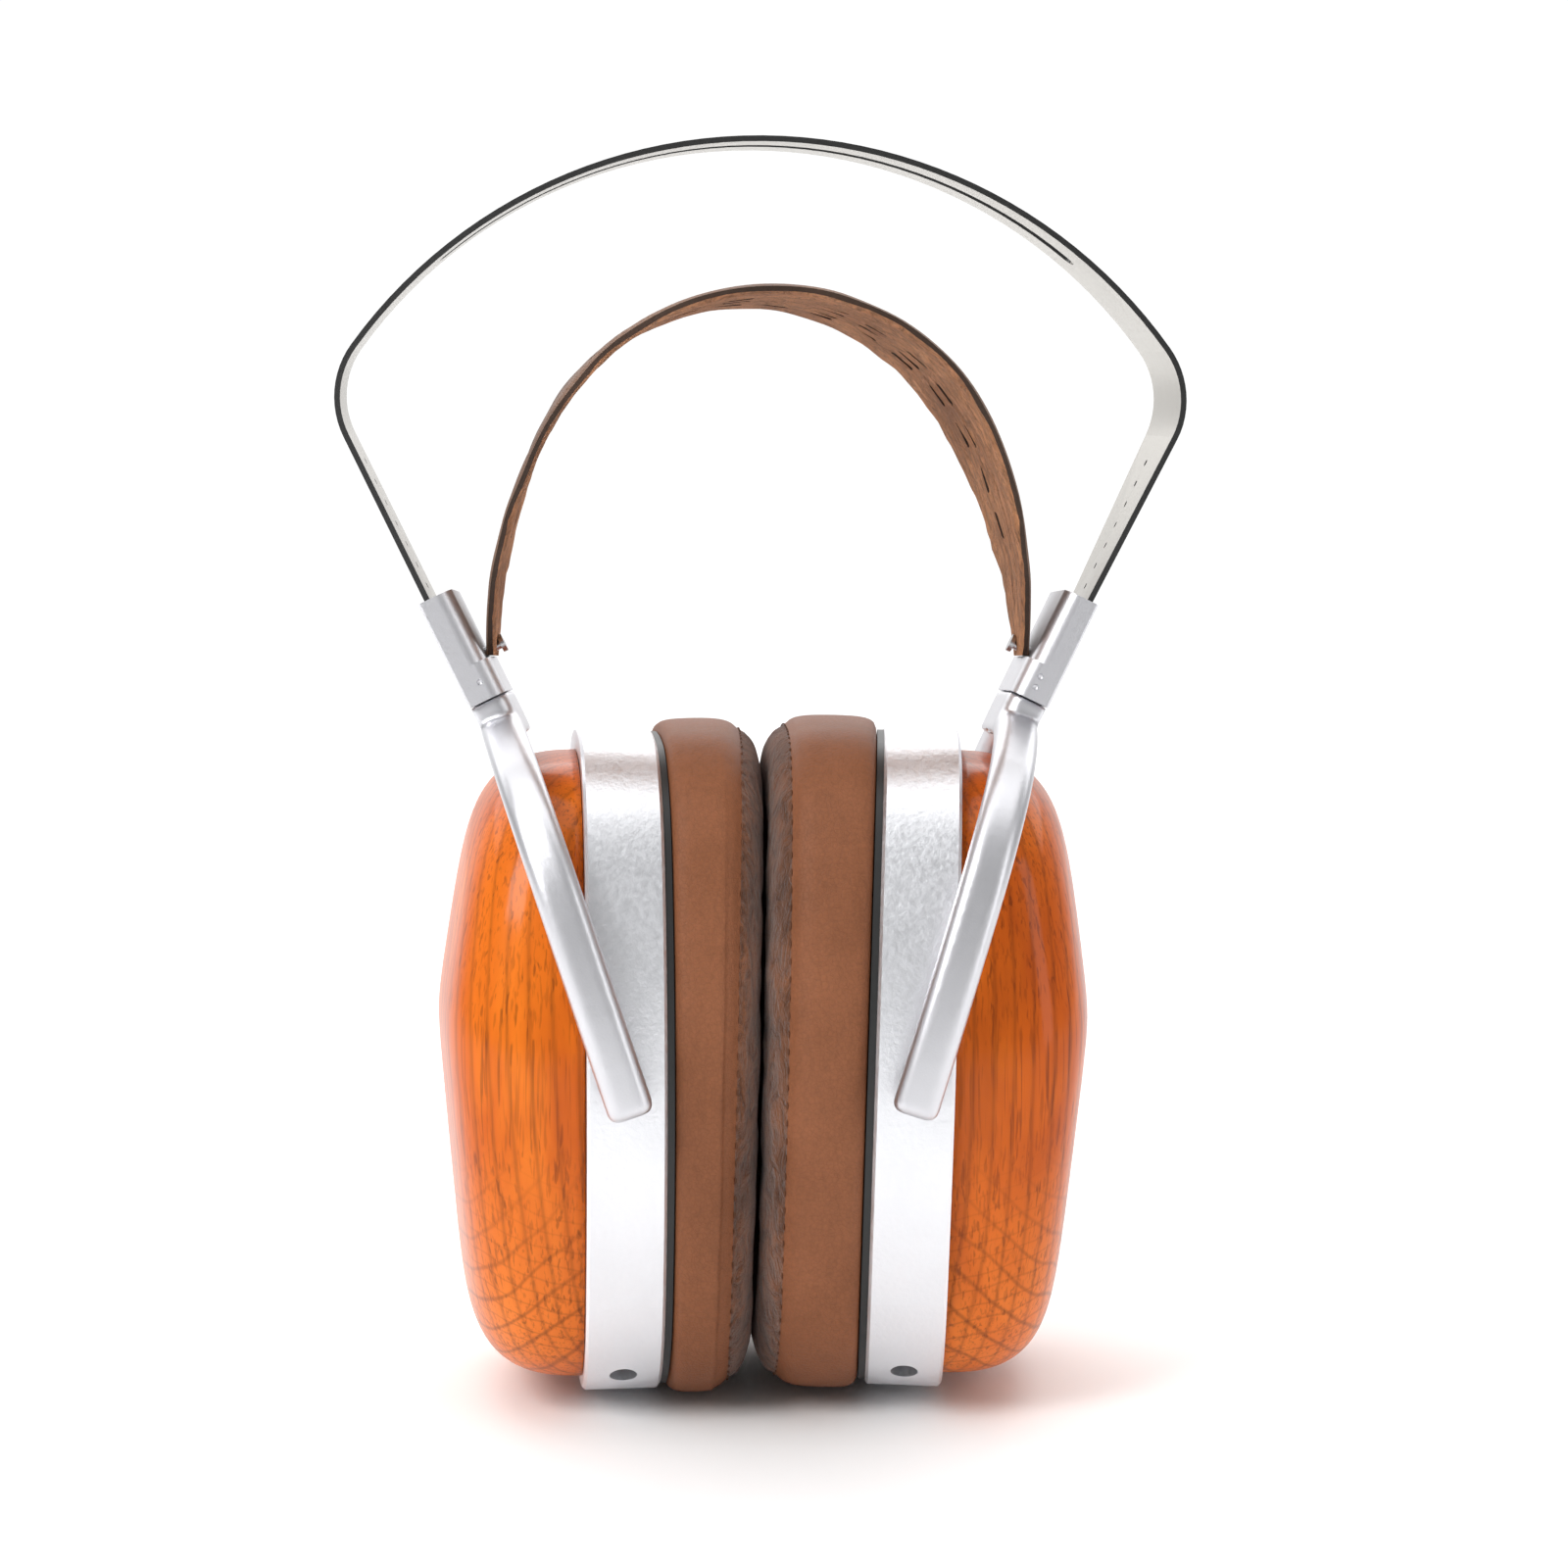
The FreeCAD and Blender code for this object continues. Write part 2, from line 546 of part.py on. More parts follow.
def magnets():
    """Upright magnet bars behind the stator, one between each two rows of slots."""
    bars = []
    for index in range(-4, 5):
        middle = index * MAGNET_PITCH
        reach = MAGNET_HALF_LENGTH - abs(middle) * 0.4
        across = (middle - MAGNET_HALF_WIDTH, middle + MAGNET_HALF_WIDTH)
        bars.append(box((7.4, 10.0), across, (-reach, reach)))
    return Part.makeCompound(bars)


def damping_felt():
    return oval_prism(WOOD_CAVITY_DEPTH - 3.0, WOOD_CAVITY_DEPTH, -WOOD_INSET - 6.2)


def pad_plate():
    """Thin plate that the pad is glued to and that clips to the ring's front."""
    return oval_tube(-PAD_PLATE, 0, -0.8, -PAD_HOLE_INSET + 3)


def ear_pad(side):
    """Foam and leather ring, thicker behind the ear, cut off where the two pads meet."""
    pad = oval_tube(-ABOUT_CUP, -PAD_PLATE, PAD_BULGE, -PAD_HOLE_INSET)
    pad.Placement = cup_placement(side)
    beyond = box((PAD_MEETING_GAP, ABOUT_CUP), (-ABOUT_CUP, ABOUT_CUP), (-ABOUT_CUP, ABOUT_CUP))
    sign = 1 if side == "right" else -1
    beyond.Placement = FreeCAD.Placement(vec(sign * PAD_MEETING_X, 0, RING_Z),
                                         FreeCAD.Rotation(Y_AXIS, sign * PAD_MEETING_LEAN))
    return pad.common(beyond)


def jack_socket():
    """Round socket behind the ring's wall, open towards the front and below."""
    body = jack_rod(JACK_BODY_RADIUS, RING_WALL + 0.1, RING_WALL + 0.1 + JACK_LENGTH)
    return body.cut(jack_rod(JACK_BORE_RADIUS, 0, RING_WALL + JACK_LENGTH - 1.0))


def pivot_bushes():
    bushes = []
    for side in (-1, 1):
        bush = pivot_rod(BUSH_RADIUS - RUNNING_GAP, RING_HALF_DEPTH - 4.5, RING_HALF_DEPTH + 0.2, side)
        bush = bush.fuse(pivot_rod(BUSH_FLANGE_RADIUS, RING_HALF_DEPTH + 0.1,
                                   RING_HALF_DEPTH + BUSH_FLANGE_TOP, side))
        bore = pivot_rod(SWIVEL_RADIUS + RUNNING_GAP, RING_HALF_DEPTH - 9, RING_HALF_DEPTH + 9, side)
        bushes.append(bush.cut(bore).removeSplitter())
    return Part.makeCompound(bushes)


def pivot_screws():
    """Screws on the tilt axis, put in from inside the ring and fixed in the yoke's arms."""
    screws = []
    for side in (-1, 1):
        shank = pivot_rod(SWIVEL_RADIUS, RING_HALF_DEPTH - 5.5, RING_HALF_DEPTH + PIVOT_GRIP, side)
        head = pivot_rod(PIVOT_HEAD_RADIUS, RING_HALF_DEPTH - 6.8, RING_HALF_DEPTH - 4.8, side)
        drive = pivot_rod(0.9, RING_HALF_DEPTH - 6.8, RING_HALF_DEPTH - 5.8, side)
        screws.append(shank.fuse(head).cut(drive).removeSplitter())
    return Part.makeCompound(screws)


def yoke_placement(cup_side):
    """The fork's frame: origin between the pivots, y on the tilt axis, z towards the collar."""
    pivot = vec(PIVOT_X[cup_side], 0, PIVOT_Z)
    under_collar = leg_placement().multVec(
        vec((OUTER_FACE + COLLAR_INNER_FACE) / 2, 0, -SLEEVE_LENGTH - COLLAR_LENGTH))
    side = FreeCAD.Rotation(Z_AXIS, -TOE_IN).multVec(Y_AXIS)
    rise = under_collar - pivot
    rise = (rise - side * rise.dot(side)).normalize()
    out = side.cross(rise)
    matrix = FreeCAD.Matrix(out.x, side.x, rise.x, pivot.x, out.y, side.y, rise.y, pivot.y,
                            out.z, side.z, rise.z, pivot.z, 0, 0, 0, 1)
    return FreeCAD.Placement(matrix)


def yoke_arch(offset):
    """The yoke's middle line from pivot to pivot, moved out by an offset, as edges."""
    top, corner, (centre, radius, start, _) = oval_arcs(
        yoke_reach(), YOKE_TOP, YOKE_TOP_RADIUS, YOKE_SIDE_RADIUS, YOKE_CORNER_RADIUS, offset)
    edges = [Part.Arc(*[vec(0, y, z) for y, z in arc_points(*top)]).toShape()]
    for side in (-1, 1):
        for arc in (corner, (centre, radius, start, math.pi / 2)):
            edges.append(Part.Arc(*[vec(0, side * y, z) for y, z in arc_points(*arc)]).toShape())
    return edges


def yoke_reach():
    """How far in front of and behind the pivots' middle the yoke's arms stand."""
    return RING_HALF_DEPTH + 2.3 + YOKE_ARM_DEPTH / 2


def yoke(cup_side):
    """Fork that holds the cup from the front and the back, with a head that turns on the collar."""
    reach = yoke_reach()
    edges = yoke_arch(0.0)
    edges += [Part.LineSegment(vec(0, side * reach, 0), vec(0, side * reach, -YOKE_TAIL)).toShape()
              for side in (-1, 1)]
    spine = Part.Wire(Part.__sortEdges__(edges))
    half_width, half_depth = YOKE_ARM_WIDTH / 2, YOKE_ARM_DEPTH / 2
    section = chain_of_arcs([(x * half_width, y * half_depth, YOKE_EDGE_RADIUS)
                             for x, y in ((-1, -1), (1, -1), (1, 1), (-1, 1))])
    profile = section.OuterWire
    profile.translate(vec(0, -reach, -YOKE_TAIL))
    fork = spine.makePipeShell([profile], True, False)
    ends = [edge for edge in fork.Edges if edge.BoundBox.ZMax < 0.01 - YOKE_TAIL]
    fork = fork.makeFillet(YOKE_END_RADIUS, ends)
    fork.Placement = yoke_placement(cup_side)
    top = -SLEEVE_LENGTH - COLLAR_LENGTH - SWIVEL_GAP
    head = rounded_bar(COLLAR_INNER_FACE, OUTER_FACE, SLEEVE_WIDTH - 2.0,
                       top, top - YOKE_HEAD_LENGTH + 0.3)
    head.Placement = leg_placement()
    under_head = -SLEEVE_LENGTH - COLLAR_LENGTH - YOKE_HEAD_LENGTH + SWIVEL_HEAD_LENGTH
    cutters = [swivel_rod(SWIVEL_RADIUS + RUNNING_GAP, top - 20, top + 1),
               swivel_rod(SWIVEL_HEAD_RADIUS + 0.15, top - 20, under_head + 0.1)]
    for cutter in cutters:
        cutter.Placement = leg_placement()
    for side in (-1, 1):
        socket = pivot_rod(SWIVEL_RADIUS, RING_HALF_DEPTH, RING_HALF_DEPTH + PIVOT_GRIP, side)
        socket.Placement = cup_placement(cup_side)
        cutters.append(socket)
    return fork.fuse(head).cut(cutters).removeSplitter()


def save(name, shape):
    solids = shape.Solids
    for solid in solids:
        if not solid.isValid() or solid.Volume <= 0:
            raise ValueError("bad solid in " + name)
    result = solids[0] if len(solids) == 1 else Part.makeCompound(solids)
    result.exportStep("parts/" + name + ".step")
    print(name, len(solids), round(sum(solid.Volume for solid in solids), 1))


def save_side(name, side, shape, placement=None):
    """One side's piece, put in its place and mirrored if it is the left one."""
    if placement:
        shape.Placement = placement.multiply(shape.Placement)
    if side == "left":
        shape = shape.mirror(ORIGIN, X_AXIS)
    save(name + "_" + side, shape)


os.makedirs("parts", exist_ok=True)
save("band", band())
save("strap", strap())
for side, marks in (("left", 1), ("right", 2)):
    for make in (sleeve, swivel_screw, strap_screw, detent_ball, detent_spring):
        save_side(make.__name__, side, make(), leg_placement())
    save_side("collar", side, collar(marks), leg_placement())
    save_side("yoke", side, yoke(side))
    save_side("ear_pad", side, ear_pad(side))
    for make in (cup_ring, wood_cup, baffle, driver_frame, diaphragm, stator_plate, magnets,
                 damping_felt, pad_plate, jack_socket, pivot_bushes, pivot_screws,
                 baffle_screws):
        save_side(make.__name__, side, make(), cup_placement(side))
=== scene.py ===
import json
import math

import bmesh
import bpy
import numpy as np
from mathutils import Matrix, Vector, noise
from mathutils.geometry import delaunay_2d_cdt


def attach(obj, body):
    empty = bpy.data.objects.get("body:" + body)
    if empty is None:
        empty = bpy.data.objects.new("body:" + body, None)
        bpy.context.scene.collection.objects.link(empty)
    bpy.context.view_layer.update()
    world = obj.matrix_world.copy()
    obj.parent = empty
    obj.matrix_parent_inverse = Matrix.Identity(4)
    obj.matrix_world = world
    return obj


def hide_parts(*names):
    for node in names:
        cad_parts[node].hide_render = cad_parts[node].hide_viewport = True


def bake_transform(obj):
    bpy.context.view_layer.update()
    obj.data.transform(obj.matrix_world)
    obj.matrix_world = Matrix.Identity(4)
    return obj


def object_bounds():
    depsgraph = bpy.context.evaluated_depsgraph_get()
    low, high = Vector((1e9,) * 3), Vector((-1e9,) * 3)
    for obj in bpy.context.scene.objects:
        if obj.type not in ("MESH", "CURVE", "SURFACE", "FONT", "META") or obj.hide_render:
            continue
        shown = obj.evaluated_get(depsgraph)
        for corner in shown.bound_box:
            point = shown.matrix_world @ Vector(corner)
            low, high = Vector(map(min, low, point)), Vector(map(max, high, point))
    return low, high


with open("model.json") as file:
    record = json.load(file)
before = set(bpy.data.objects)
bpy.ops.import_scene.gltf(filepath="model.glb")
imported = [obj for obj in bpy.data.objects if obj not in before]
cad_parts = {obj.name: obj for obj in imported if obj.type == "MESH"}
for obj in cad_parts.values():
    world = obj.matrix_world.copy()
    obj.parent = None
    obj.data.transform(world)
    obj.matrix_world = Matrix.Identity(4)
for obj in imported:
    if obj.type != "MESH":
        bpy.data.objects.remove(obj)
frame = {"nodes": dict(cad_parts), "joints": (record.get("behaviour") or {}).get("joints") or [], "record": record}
cad_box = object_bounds()

# Lengths below are in millimetres and become metres through MM. Slopes, leans and angles are in
# degrees. They repeat the CAD's own driving dimensions where a new piece has to meet a CAD piece.
MM = 0.001
SIDES = {"left": -1, "right": 1}
CUP_LEAN = {"left": 0.0, "right": 1.7}
PIVOT_U = 7.6
RING_Z = 58.4
RING_HALF_DEPTH = 47.0
RING_HALF_HEIGHT = 57.5
RING_TOP_RADIUS = 110.0
RING_SIDE_RADIUS = 120.0
RING_CORNER_RADIUS = 28.0
RING_WIDTH = 13.0
WOOD_INSET = 3.2
WOOD_DROP = 0.8
WOOD_PEAK = 37.2
WOOD_RIDGE_HEIGHT = 10.0
WOOD_UPPER_SLOPE = 9.3
WOOD_LOWER_SLOPE = 5.2
WOOD_SIDE_SLOPE = 6.0
WOOD_SEAT_GAP = 0.12
PAD_PLATE = 1.2
PAD_MEETING_X = -0.7
PAD_MEETING_LEAN = 1.35
PAD_MEETING_GAP = 0.2
PAD_TOP_SWELL = 0.7
STRAP_TOP = 192.5
STRAP_THICK = 1.7
STRAP_CROWN_RADIUS = 42.5
STRAP_CROWN_ANGLE = 62.0
STRAP_SIDE_RADIUS = 87.0
STRAP_END_ANGLE = 88.0
STRAP_TAIL = 3.6
STRAP_HALF_WIDTH = 33.5
STRAP_END_HALF_WIDTH = 5.0

joints = {joint["name"]: joint for joint in frame["joints"]}


# ---------------------------------------------------------------- materials

def new_material(name):
    """A node material and its shader."""
    material = bpy.data.materials.new(name)
    material.use_nodes = True
    nodes = material.node_tree.nodes
    return material, nodes, material.node_tree.links, nodes["Principled BSDF"]


def mapped(nodes, links, scale, turn=(0, 0, 0), shift=(0, 0, 0)):
    """Object coordinates, stretched, turned and shifted."""
    coords = nodes.new("ShaderNodeTexCoord")
    mapping = nodes.new("ShaderNodeMapping")
    mapping.inputs["Scale"].default_value = scale
    mapping.inputs["Rotation"].default_value = [math.radians(angle) for angle in turn]
    mapping.inputs["Location"].default_value = shift
    links.new(coords.outputs["Object"], mapping.inputs["Vector"])
    return mapping.outputs["Vector"]


def noise_texture(nodes, links, vector, scale, detail=4.0, roughness=0.55, distortion=0.0):
    texture = nodes.new("ShaderNodeTexNoise")
    texture.inputs["Scale"].default_value = scale
    texture.inputs["Detail"].default_value = detail
    texture.inputs["Roughness"].default_value = roughness
    texture.inputs["Distortion"].default_value = distortion
    links.new(vector, texture.inputs["Vector"])
    return texture.outputs["Fac"]


def ramp(nodes, links, factor, stops):
    """A colour ramp with stops of (position, grey or colour)."""
    node = nodes.new("ShaderNodeValToRGB")
    elements = node.color_ramp.elements
    while len(elements) < len(stops):
        elements.new(0.5)
    for element, (position, colour) in zip(elements, stops):
        element.position = position
        element.color = (*colour, 1) if hasattr(colour, "__len__") else (colour,) * 3 + (1,)
    links.new(factor, node.inputs["Fac"])
    return node.outputs["Color"]


def mix(nodes, links, factor, first, second, kind="MIX"):
    """Blends two colours; each may be a socket or a colour."""
    node = nodes.new("ShaderNodeMix")
    node.data_type = "RGBA"
    node.blend_type = kind
    for socket, value in ((node.inputs[0], factor), (node.inputs[6], first), (node.inputs[7], second)):
        if isinstance(value, bpy.types.NodeSocket):
            links.new(value, socket)
        elif hasattr(value, "__len__"):
            socket.default_value = (*value, 1)
        else:
            socket.default_value = value
    return node.outputs[2]


def to_range(nodes, links, value, low, high):
    """A value from 0 to 1, moved to lie between low and high."""
    node = nodes.new("ShaderNodeMapRange")
    node.inputs["To Min"].default_value = low
    node.inputs["To Max"].default_value = high
    links.new(value, node.inputs["Value"])
    return node.outputs["Result"]


def bump(nodes, links, shader, height, strength, distance, below=None):
    """Adds relief to a shader, on top of any relief below it."""
    node = nodes.new("ShaderNodeBump")
    node.inputs["Strength"].default_value = strength
    node.inputs["Distance"].default_value = distance
    links.new(height, node.inputs["Height"])
    if below:
        links.new(below, node.inputs["Normal"])
    links.new(node.outputs["Normal"], shader.inputs["Normal"])
    return node.outputs["Normal"]


def metal(name, colour, roughness, grain_scale, grain_stretch, relief, spread=0.08):
    """Bare or anodised metal with a fine grain, which may be stretched into brushing."""
    material, nodes, links, shader = new_material(name)
    shader.inputs["Metallic"].default_value = 1.0
    grain = noise_texture(nodes, links, mapped(nodes, links, grain_stretch), grain_scale)
    cloud = noise_texture(nodes, links, mapped(nodes, links, (1, 1, 1)), 60.0, 2.0)
    darker = [channel * 0.9 for channel in colour]
    links.new(mix(nodes, links, cloud, darker, colour), shader.inputs["Base Color"])
    links.new(to_range(nodes, links, grain, roughness - spread, roughness + spread),
              shader.inputs["Roughness"])
    bump(nodes, links, shader, grain, relief, 0.00008)
    return material


def streaks(nodes, links, turn, width, length, low, high, dark):
    """Thin dark streaks along the grain, as a tone to multiply a colour by."""
    vector = mapped(nodes, links, (1 / width, 1 / width, 1 / length), turn)
    factor = noise_texture(nodes, links, vector, 1.0, 2.0, 0.45, 0.35)
    return ramp(nodes, links, factor, [(low, dark), (high, 1.0)])


def thin_arcs(nodes, links, shift, scale):
    """Thin dark arcs round a level axis, where the cut runs across the growth rings."""
    wave = nodes.new("ShaderNodeTexWave")
    wave.wave_type = "RINGS"
    wave.rings_direction = "Y"
    wave.inputs["Scale"].default_value = scale
    wave.inputs["Distortion"].default_value = 4.5
    wave.inputs["Detail"].default_value = 2.0
    wave.inputs["Detail Scale"].default_value = 0.6
    links.new(mapped(nodes, links, (1, 1, 1), shift=shift), wave.inputs["Vector"])
    return ramp(nodes, links, wave.outputs["Fac"], [(0.0, 0.42), (0.05, 0.85), (0.12, 1.0)])


def lacquered_wood(name, side, turn):
    """Orange-brown wood under gloss lacquer: growth rings, dark pores, and a net of flecks low down."""
    material, nodes, links, shader = new_material(name)
    figure = noise_texture(nodes, links, mapped(nodes, links, (45, 45, 14), turn), 1.0, 4.0, 0.55, 0.8)
    rings = nodes.new("ShaderNodeTexWave")
    rings.wave_type = "RINGS"
    rings.rings_direction = "Z"
    rings.inputs["Scale"].default_value = 95.0
    rings.inputs["Distortion"].default_value = 8.0
    rings.inputs["Detail"].default_value = 2.5
    rings.inputs["Detail Scale"].default_value = 0.35
    log = mapped(nodes, links, (1, 1, 0.16), turn, (side * 0.02, 0.07, 0))
    links.new(log, rings.inputs["Vector"])
    body = ramp(nodes, links, figure, [(0.28, (0.44, 0.068, 0.002)), (0.5, (0.58, 0.108, 0.004)),
                                       (0.72, (0.76, 0.175, 0.009))])
    paler = ramp(nodes, links, figure, [(0.28, (0.60, 0.115, 0.010)), (0.72, (0.84, 0.220, 0.028))])
    growth = ramp(nodes, links, rings.outputs["Fac"], [(0.0, 0.62), (0.10, 0.90), (0.4, 1.0)])
    pores = streaks(nodes, links, turn, 0.0007, 0.024, 0.33, 0.38, 0.60)
    fine = streaks(nodes, links, turn, 0.0005, 0.018, 0.36, 0.46, 0.66)
    arcs = thin_arcs(nodes, links, (side * -0.080, 0, -0.078), 62.0)
    net = thin_arcs(nodes, links, (side * -0.015, 0, -0.105), 120.0)
    crossing = mix(nodes, links, 0.6, arcs, net, "MULTIPLY")
    height = nodes.new("ShaderNodeSeparateXYZ")
    links.new(mapped(nodes, links, (1, 1, 1)), height.inputs["Vector"])
    low_down = nodes.new("ShaderNodeMapRange")
    low_down.inputs["From Min"].default_value = 0.050
    low_down.inputs["From Max"].default_value = 0.020
    links.new(height.outputs["Z"], low_down.inputs["Value"])
    base = mix(nodes, links, low_down.outputs["Result"], body, paler)
    colour = mix(nodes, links, 0.7, base, growth, "MULTIPLY")
    colour = mix(nodes, links, 0.9, colour, pores, "MULTIPLY")
    colour = mix(nodes, links, 0.7, colour, fine, "MULTIPLY")
    colour = mix(nodes, links, low_down.outputs["Result"], colour,
                 mix(nodes, links, 0.65, colour, crossing, "MULTIPLY"))
    links.new(colour, shader.inputs["Base Color"])
    shader.inputs["Roughness"].default_value = 0.42
    shader.inputs["Specular IOR Level"].default_value = 0.08
    shader.inputs["Coat Weight"].default_value = 0.35
    shader.inputs["Coat Roughness"].default_value = 0.12
    shader.inputs["Coat IOR"].default_value = 1.45
    bump(nodes, links, shader, pores, 0.15, 0.0001)
    return material


def leather(name, colour, dark, roughness, pebble, relief, wrinkle=0.0, sheen=0.0):
    """Leather: colour clouds, pebbled cells with painted shade in the grooves between them, pores, and wrinkles
    where asked, with painted shade in their creases.
    """
    material, nodes, links, shader = new_material(name)
    plain = mapped(nodes, links, (1, 1, 1))
    cloud = noise_texture(nodes, links, plain, 55.0, 4.0, 0.6)
    fine = noise_texture(nodes, links, plain, 1300.0, 5.0, 0.65)
    cells = nodes.new("ShaderNodeTexVoronoi")
    cells.feature = "DISTANCE_TO_EDGE"
    cells.inputs["Scale"].default_value = pebble
    links.new(plain, cells.inputs["Vector"])
    cell_height = ramp(nodes, links, cells.outputs["Distance"], [(0.0, 0.0), (0.12, 1.0)])
    tone = ramp(nodes, links, cloud, [(0.3, dark), (0.7, colour)])
    # Painted shade: the colour is darkened a little in the grooves between the pebbled cells, where the relief is
    # lowest.
    tone = mix(nodes, links, 0.10, tone, cell_height, "MULTIPLY")
    tone = mix(nodes, links, 0.2, tone, fine, "OVERLAY")
    links.new(tone, shader.inputs["Base Color"])
    links.new(to_range(nodes, links, fine, roughness - 0.1, roughness + 0.1),
              shader.inputs["Roughness"])
    shader.inputs["Specular IOR Level"].default_value = 0.18
    shader.inputs["Sheen Weight"].default_value = sheen
    shader.inputs["Sheen Roughness"].default_value = 0.4
    below = bump(nodes, links, shader, cell_height, relief, 0.0001)
    below = bump(nodes, links, shader, fine, relief, 0.00008, below)
    if wrinkle:
        folds = noise_texture(nodes, links, mapped(nodes, links, (420, 420, 160)), 1.0, 6.0, 0.7, 1.6)
        # Painted shade: the colour is darkened in the valleys of the folds, where the creases lie.
        painted_crease_shade = ramp(nodes, links, folds, [(0.40, 0.30), (0.54, 1.0)])
        tone = mix(nodes, links, min(wrinkle, 0.6), tone, painted_crease_shade, "MULTIPLY")
        links.new(tone, shader.inputs["Base Color"])
        bump(nodes, links, shader, folds, wrinkle, 0.0012, below)
    return material


def plastic(name, colour, roughness):
    """Moulded plastic, paint, film or felt with a faint texture."""
    material, nodes, links, shader = new_material(name)
    grain = noise_texture(nodes, links, mapped(nodes, links, (1, 1, 1)), 900.0)
    lighter = [channel * 1.3 for channel in colour]
    links.new(mix(nodes, links, grain, colour, lighter), shader.inputs["Base Color"])
    shader.inputs["Roughness"].default_value = roughness
    bump(nodes, links, shader, grain, 0.2, 0.00005)
    return material


def make_materials():
    return {
        "spring_steel": metal("spring_steel", (0.53, 0.51, 0.475), 0.34, 1.0, (90, 2600, 90), 0.05),
        "satin_aluminium": metal("satin_aluminium", (0.70, 0.70, 0.73), 0.40, 2600.0, (1, 1, 1), 0.25),
        "blasted_aluminium": metal("blasted_aluminium", (0.87, 0.88, 0.91), 0.42, 1100.0, (1, 1, 1),
                                   1.0, 0.14),
        # Near-black steel for the band's cut edges: painted shade on the edge of the strip.
        "steel_edge": metal("steel_edge", (0.07, 0.07, 0.07), 0.4, 900.0, (1, 1, 1), 0.2),
        "screw_steel": metal("screw_steel", (0.45, 0.45, 0.46), 0.3, 900.0, (1, 1, 1), 0.2),
        "stator_steel": metal("stator_steel", (0.08, 0.08, 0.08), 0.5, 900.0, (1, 1, 1), 0.3),
        "magnet_metal": metal("magnet_metal", (0.6, 0.6, 0.6), 0.2, 900.0, (1, 1, 1), 0.1),
        "black_plastic": plastic("black_plastic", (0.012, 0.012, 0.012), 0.45),
        "bush_plastic": plastic("bush_plastic", (0.02, 0.02, 0.02), 0.4),
        "driver_film": plastic("driver_film", (0.5, 0.45, 0.3), 0.2),
        "felt": plastic("felt", (0.03, 0.03, 0.03), 0.95),
        "wood_left": lacquered_wood("lacquered_wood_left", -1, (4, 9, 0)),
        "wood_right": lacquered_wood("lacquered_wood_right", 1, (-5, -7, 20)),
        "pad_wall": leather("pad_leather_wall", (0.262, 0.097, 0.044), (0.21, 0.076, 0.033),
                            0.5, 1300.0, 0.4, 0.1),
        "pad_face": leather("pad_leather_face", (0.27, 0.108, 0.052), (0.10, 0.040, 0.020),
                            0.85, 700.0, 0.6, 1.0, 0.3),
        "pad_thread": leather("pad_thread", (0.16, 0.07, 0.04), (0.10, 0.045, 0.025), 0.7, 2200.0, 0.3),
        "strap_top": leather("strap_leather_top", (0.20, 0.105, 0.062), (0.12, 0.06, 0.036),
                             0.55, 800.0, 0.5),
        # The underside is tan leather. Its colour is raised further as painted light, standing in for light
        # bounced up from the floor.
        "strap_under": leather("strap_leather_under_painted_bounce", (0.72, 0.330, 0.150), (0.42, 0.175, 0.075),
                               0.75, 700.0, 0.8, 1.4, 0.05),
        "strap_edge": leather("strap_leather_edge", (0.055, 0.032, 0.022), (0.03, 0.018, 0.012),
                              0.5, 900.0, 0.4),
    }


materials = make_materials()


# ---------------------------------------------------------------- shared geometry

def new_piece(name, points, faces, material_list, face_material=None, smooth=True):
    """A mesh object from points in millimetres in the row frame."""
    mesh = bpy.data.meshes.new(name)
    mesh.from_pydata([Vector(point) * MM for point in points], [], faces)
    for material in material_list:
        mesh.materials.append(material)
    mesh.polygons.foreach_set("use_smooth", [smooth] * len(mesh.polygons))
    if face_material is not None:
        mesh.polygons.foreach_set("material_index", face_material)
    mesh.validate()
    shaped = bmesh.new()
    shaped.from_mesh(mesh)
    bmesh.ops.recalc_face_normals(shaped, faces=shaped.faces)
    shaped.to_mesh(mesh)
    shaped.free()
    piece = bpy.data.objects.new(name, mesh)
    bpy.context.scene.collection.objects.link(piece)
    return piece


def apply_modifiers(piece):
    """Keeps the mesh as its modifiers leave it."""
    graph = bpy.context.evaluated_depsgraph_get()
    mesh = bpy.data.meshes.new_from_object(piece.evaluated_get(graph))
    piece.modifiers.clear()
    piece.data = mesh


def oval_centres():
    """The centres of the ring outline's corner arc, and where the arcs meet, in turns."""
    top = Vector((0.0, RING_HALF_HEIGHT - RING_TOP_RADIUS))
    side = Vector((RING_HALF_DEPTH - RING_SIDE_RADIUS, 0.0))
    reach_top = RING_TOP_RADIUS - RING_CORNER_RADIUS
    reach_side = RING_SIDE_RADIUS - RING_CORNER_RADIUS
    gap = side - top
    along = (gap.length_squared + reach_top ** 2 - reach_side ** 2) / (2 * gap.length)
    aside = math.sqrt(reach_top ** 2 - along ** 2)
    direction = gap.normalized()
    corner = top + direction * along - Vector((-direction.y, direction.x)) * aside
    top_turn = math.atan2(corner.x - top.x, corner.y - top.y)
    side_turn = math.atan2(corner.x - side.x, corner.y - side.y)
    return top, corner, side, top_turn, side_turn


OVAL = oval_centres()


def oval_point(turn, offset=0.0):
    """The point of the ring's outline, moved out by an offset, where the outline faces turn."""
    top, corner, side, top_turn, side_turn = OVAL
    turn = turn % (2 * math.pi)
    sign_v = 1 if turn <= math.pi else -1
    sign_w = 1 if turn <= math.pi / 2 or turn >= 3 * math.pi / 2 else -1
    folded = math.asin(min(1.0, abs(math.sin(turn))))
    if folded < top_turn:
        centre, radius = top, RING_TOP_RADIUS
    elif folded < side_turn:
        centre, radius = corner, RING_CORNER_RADIUS
    else:
        centre, radius = side, RING_SIDE_RADIUS
    reach = radius + offset
    return (sign_v * (centre.x + reach * math.sin(folded)),
            sign_w * (centre.y + reach * math.cos(folded)))


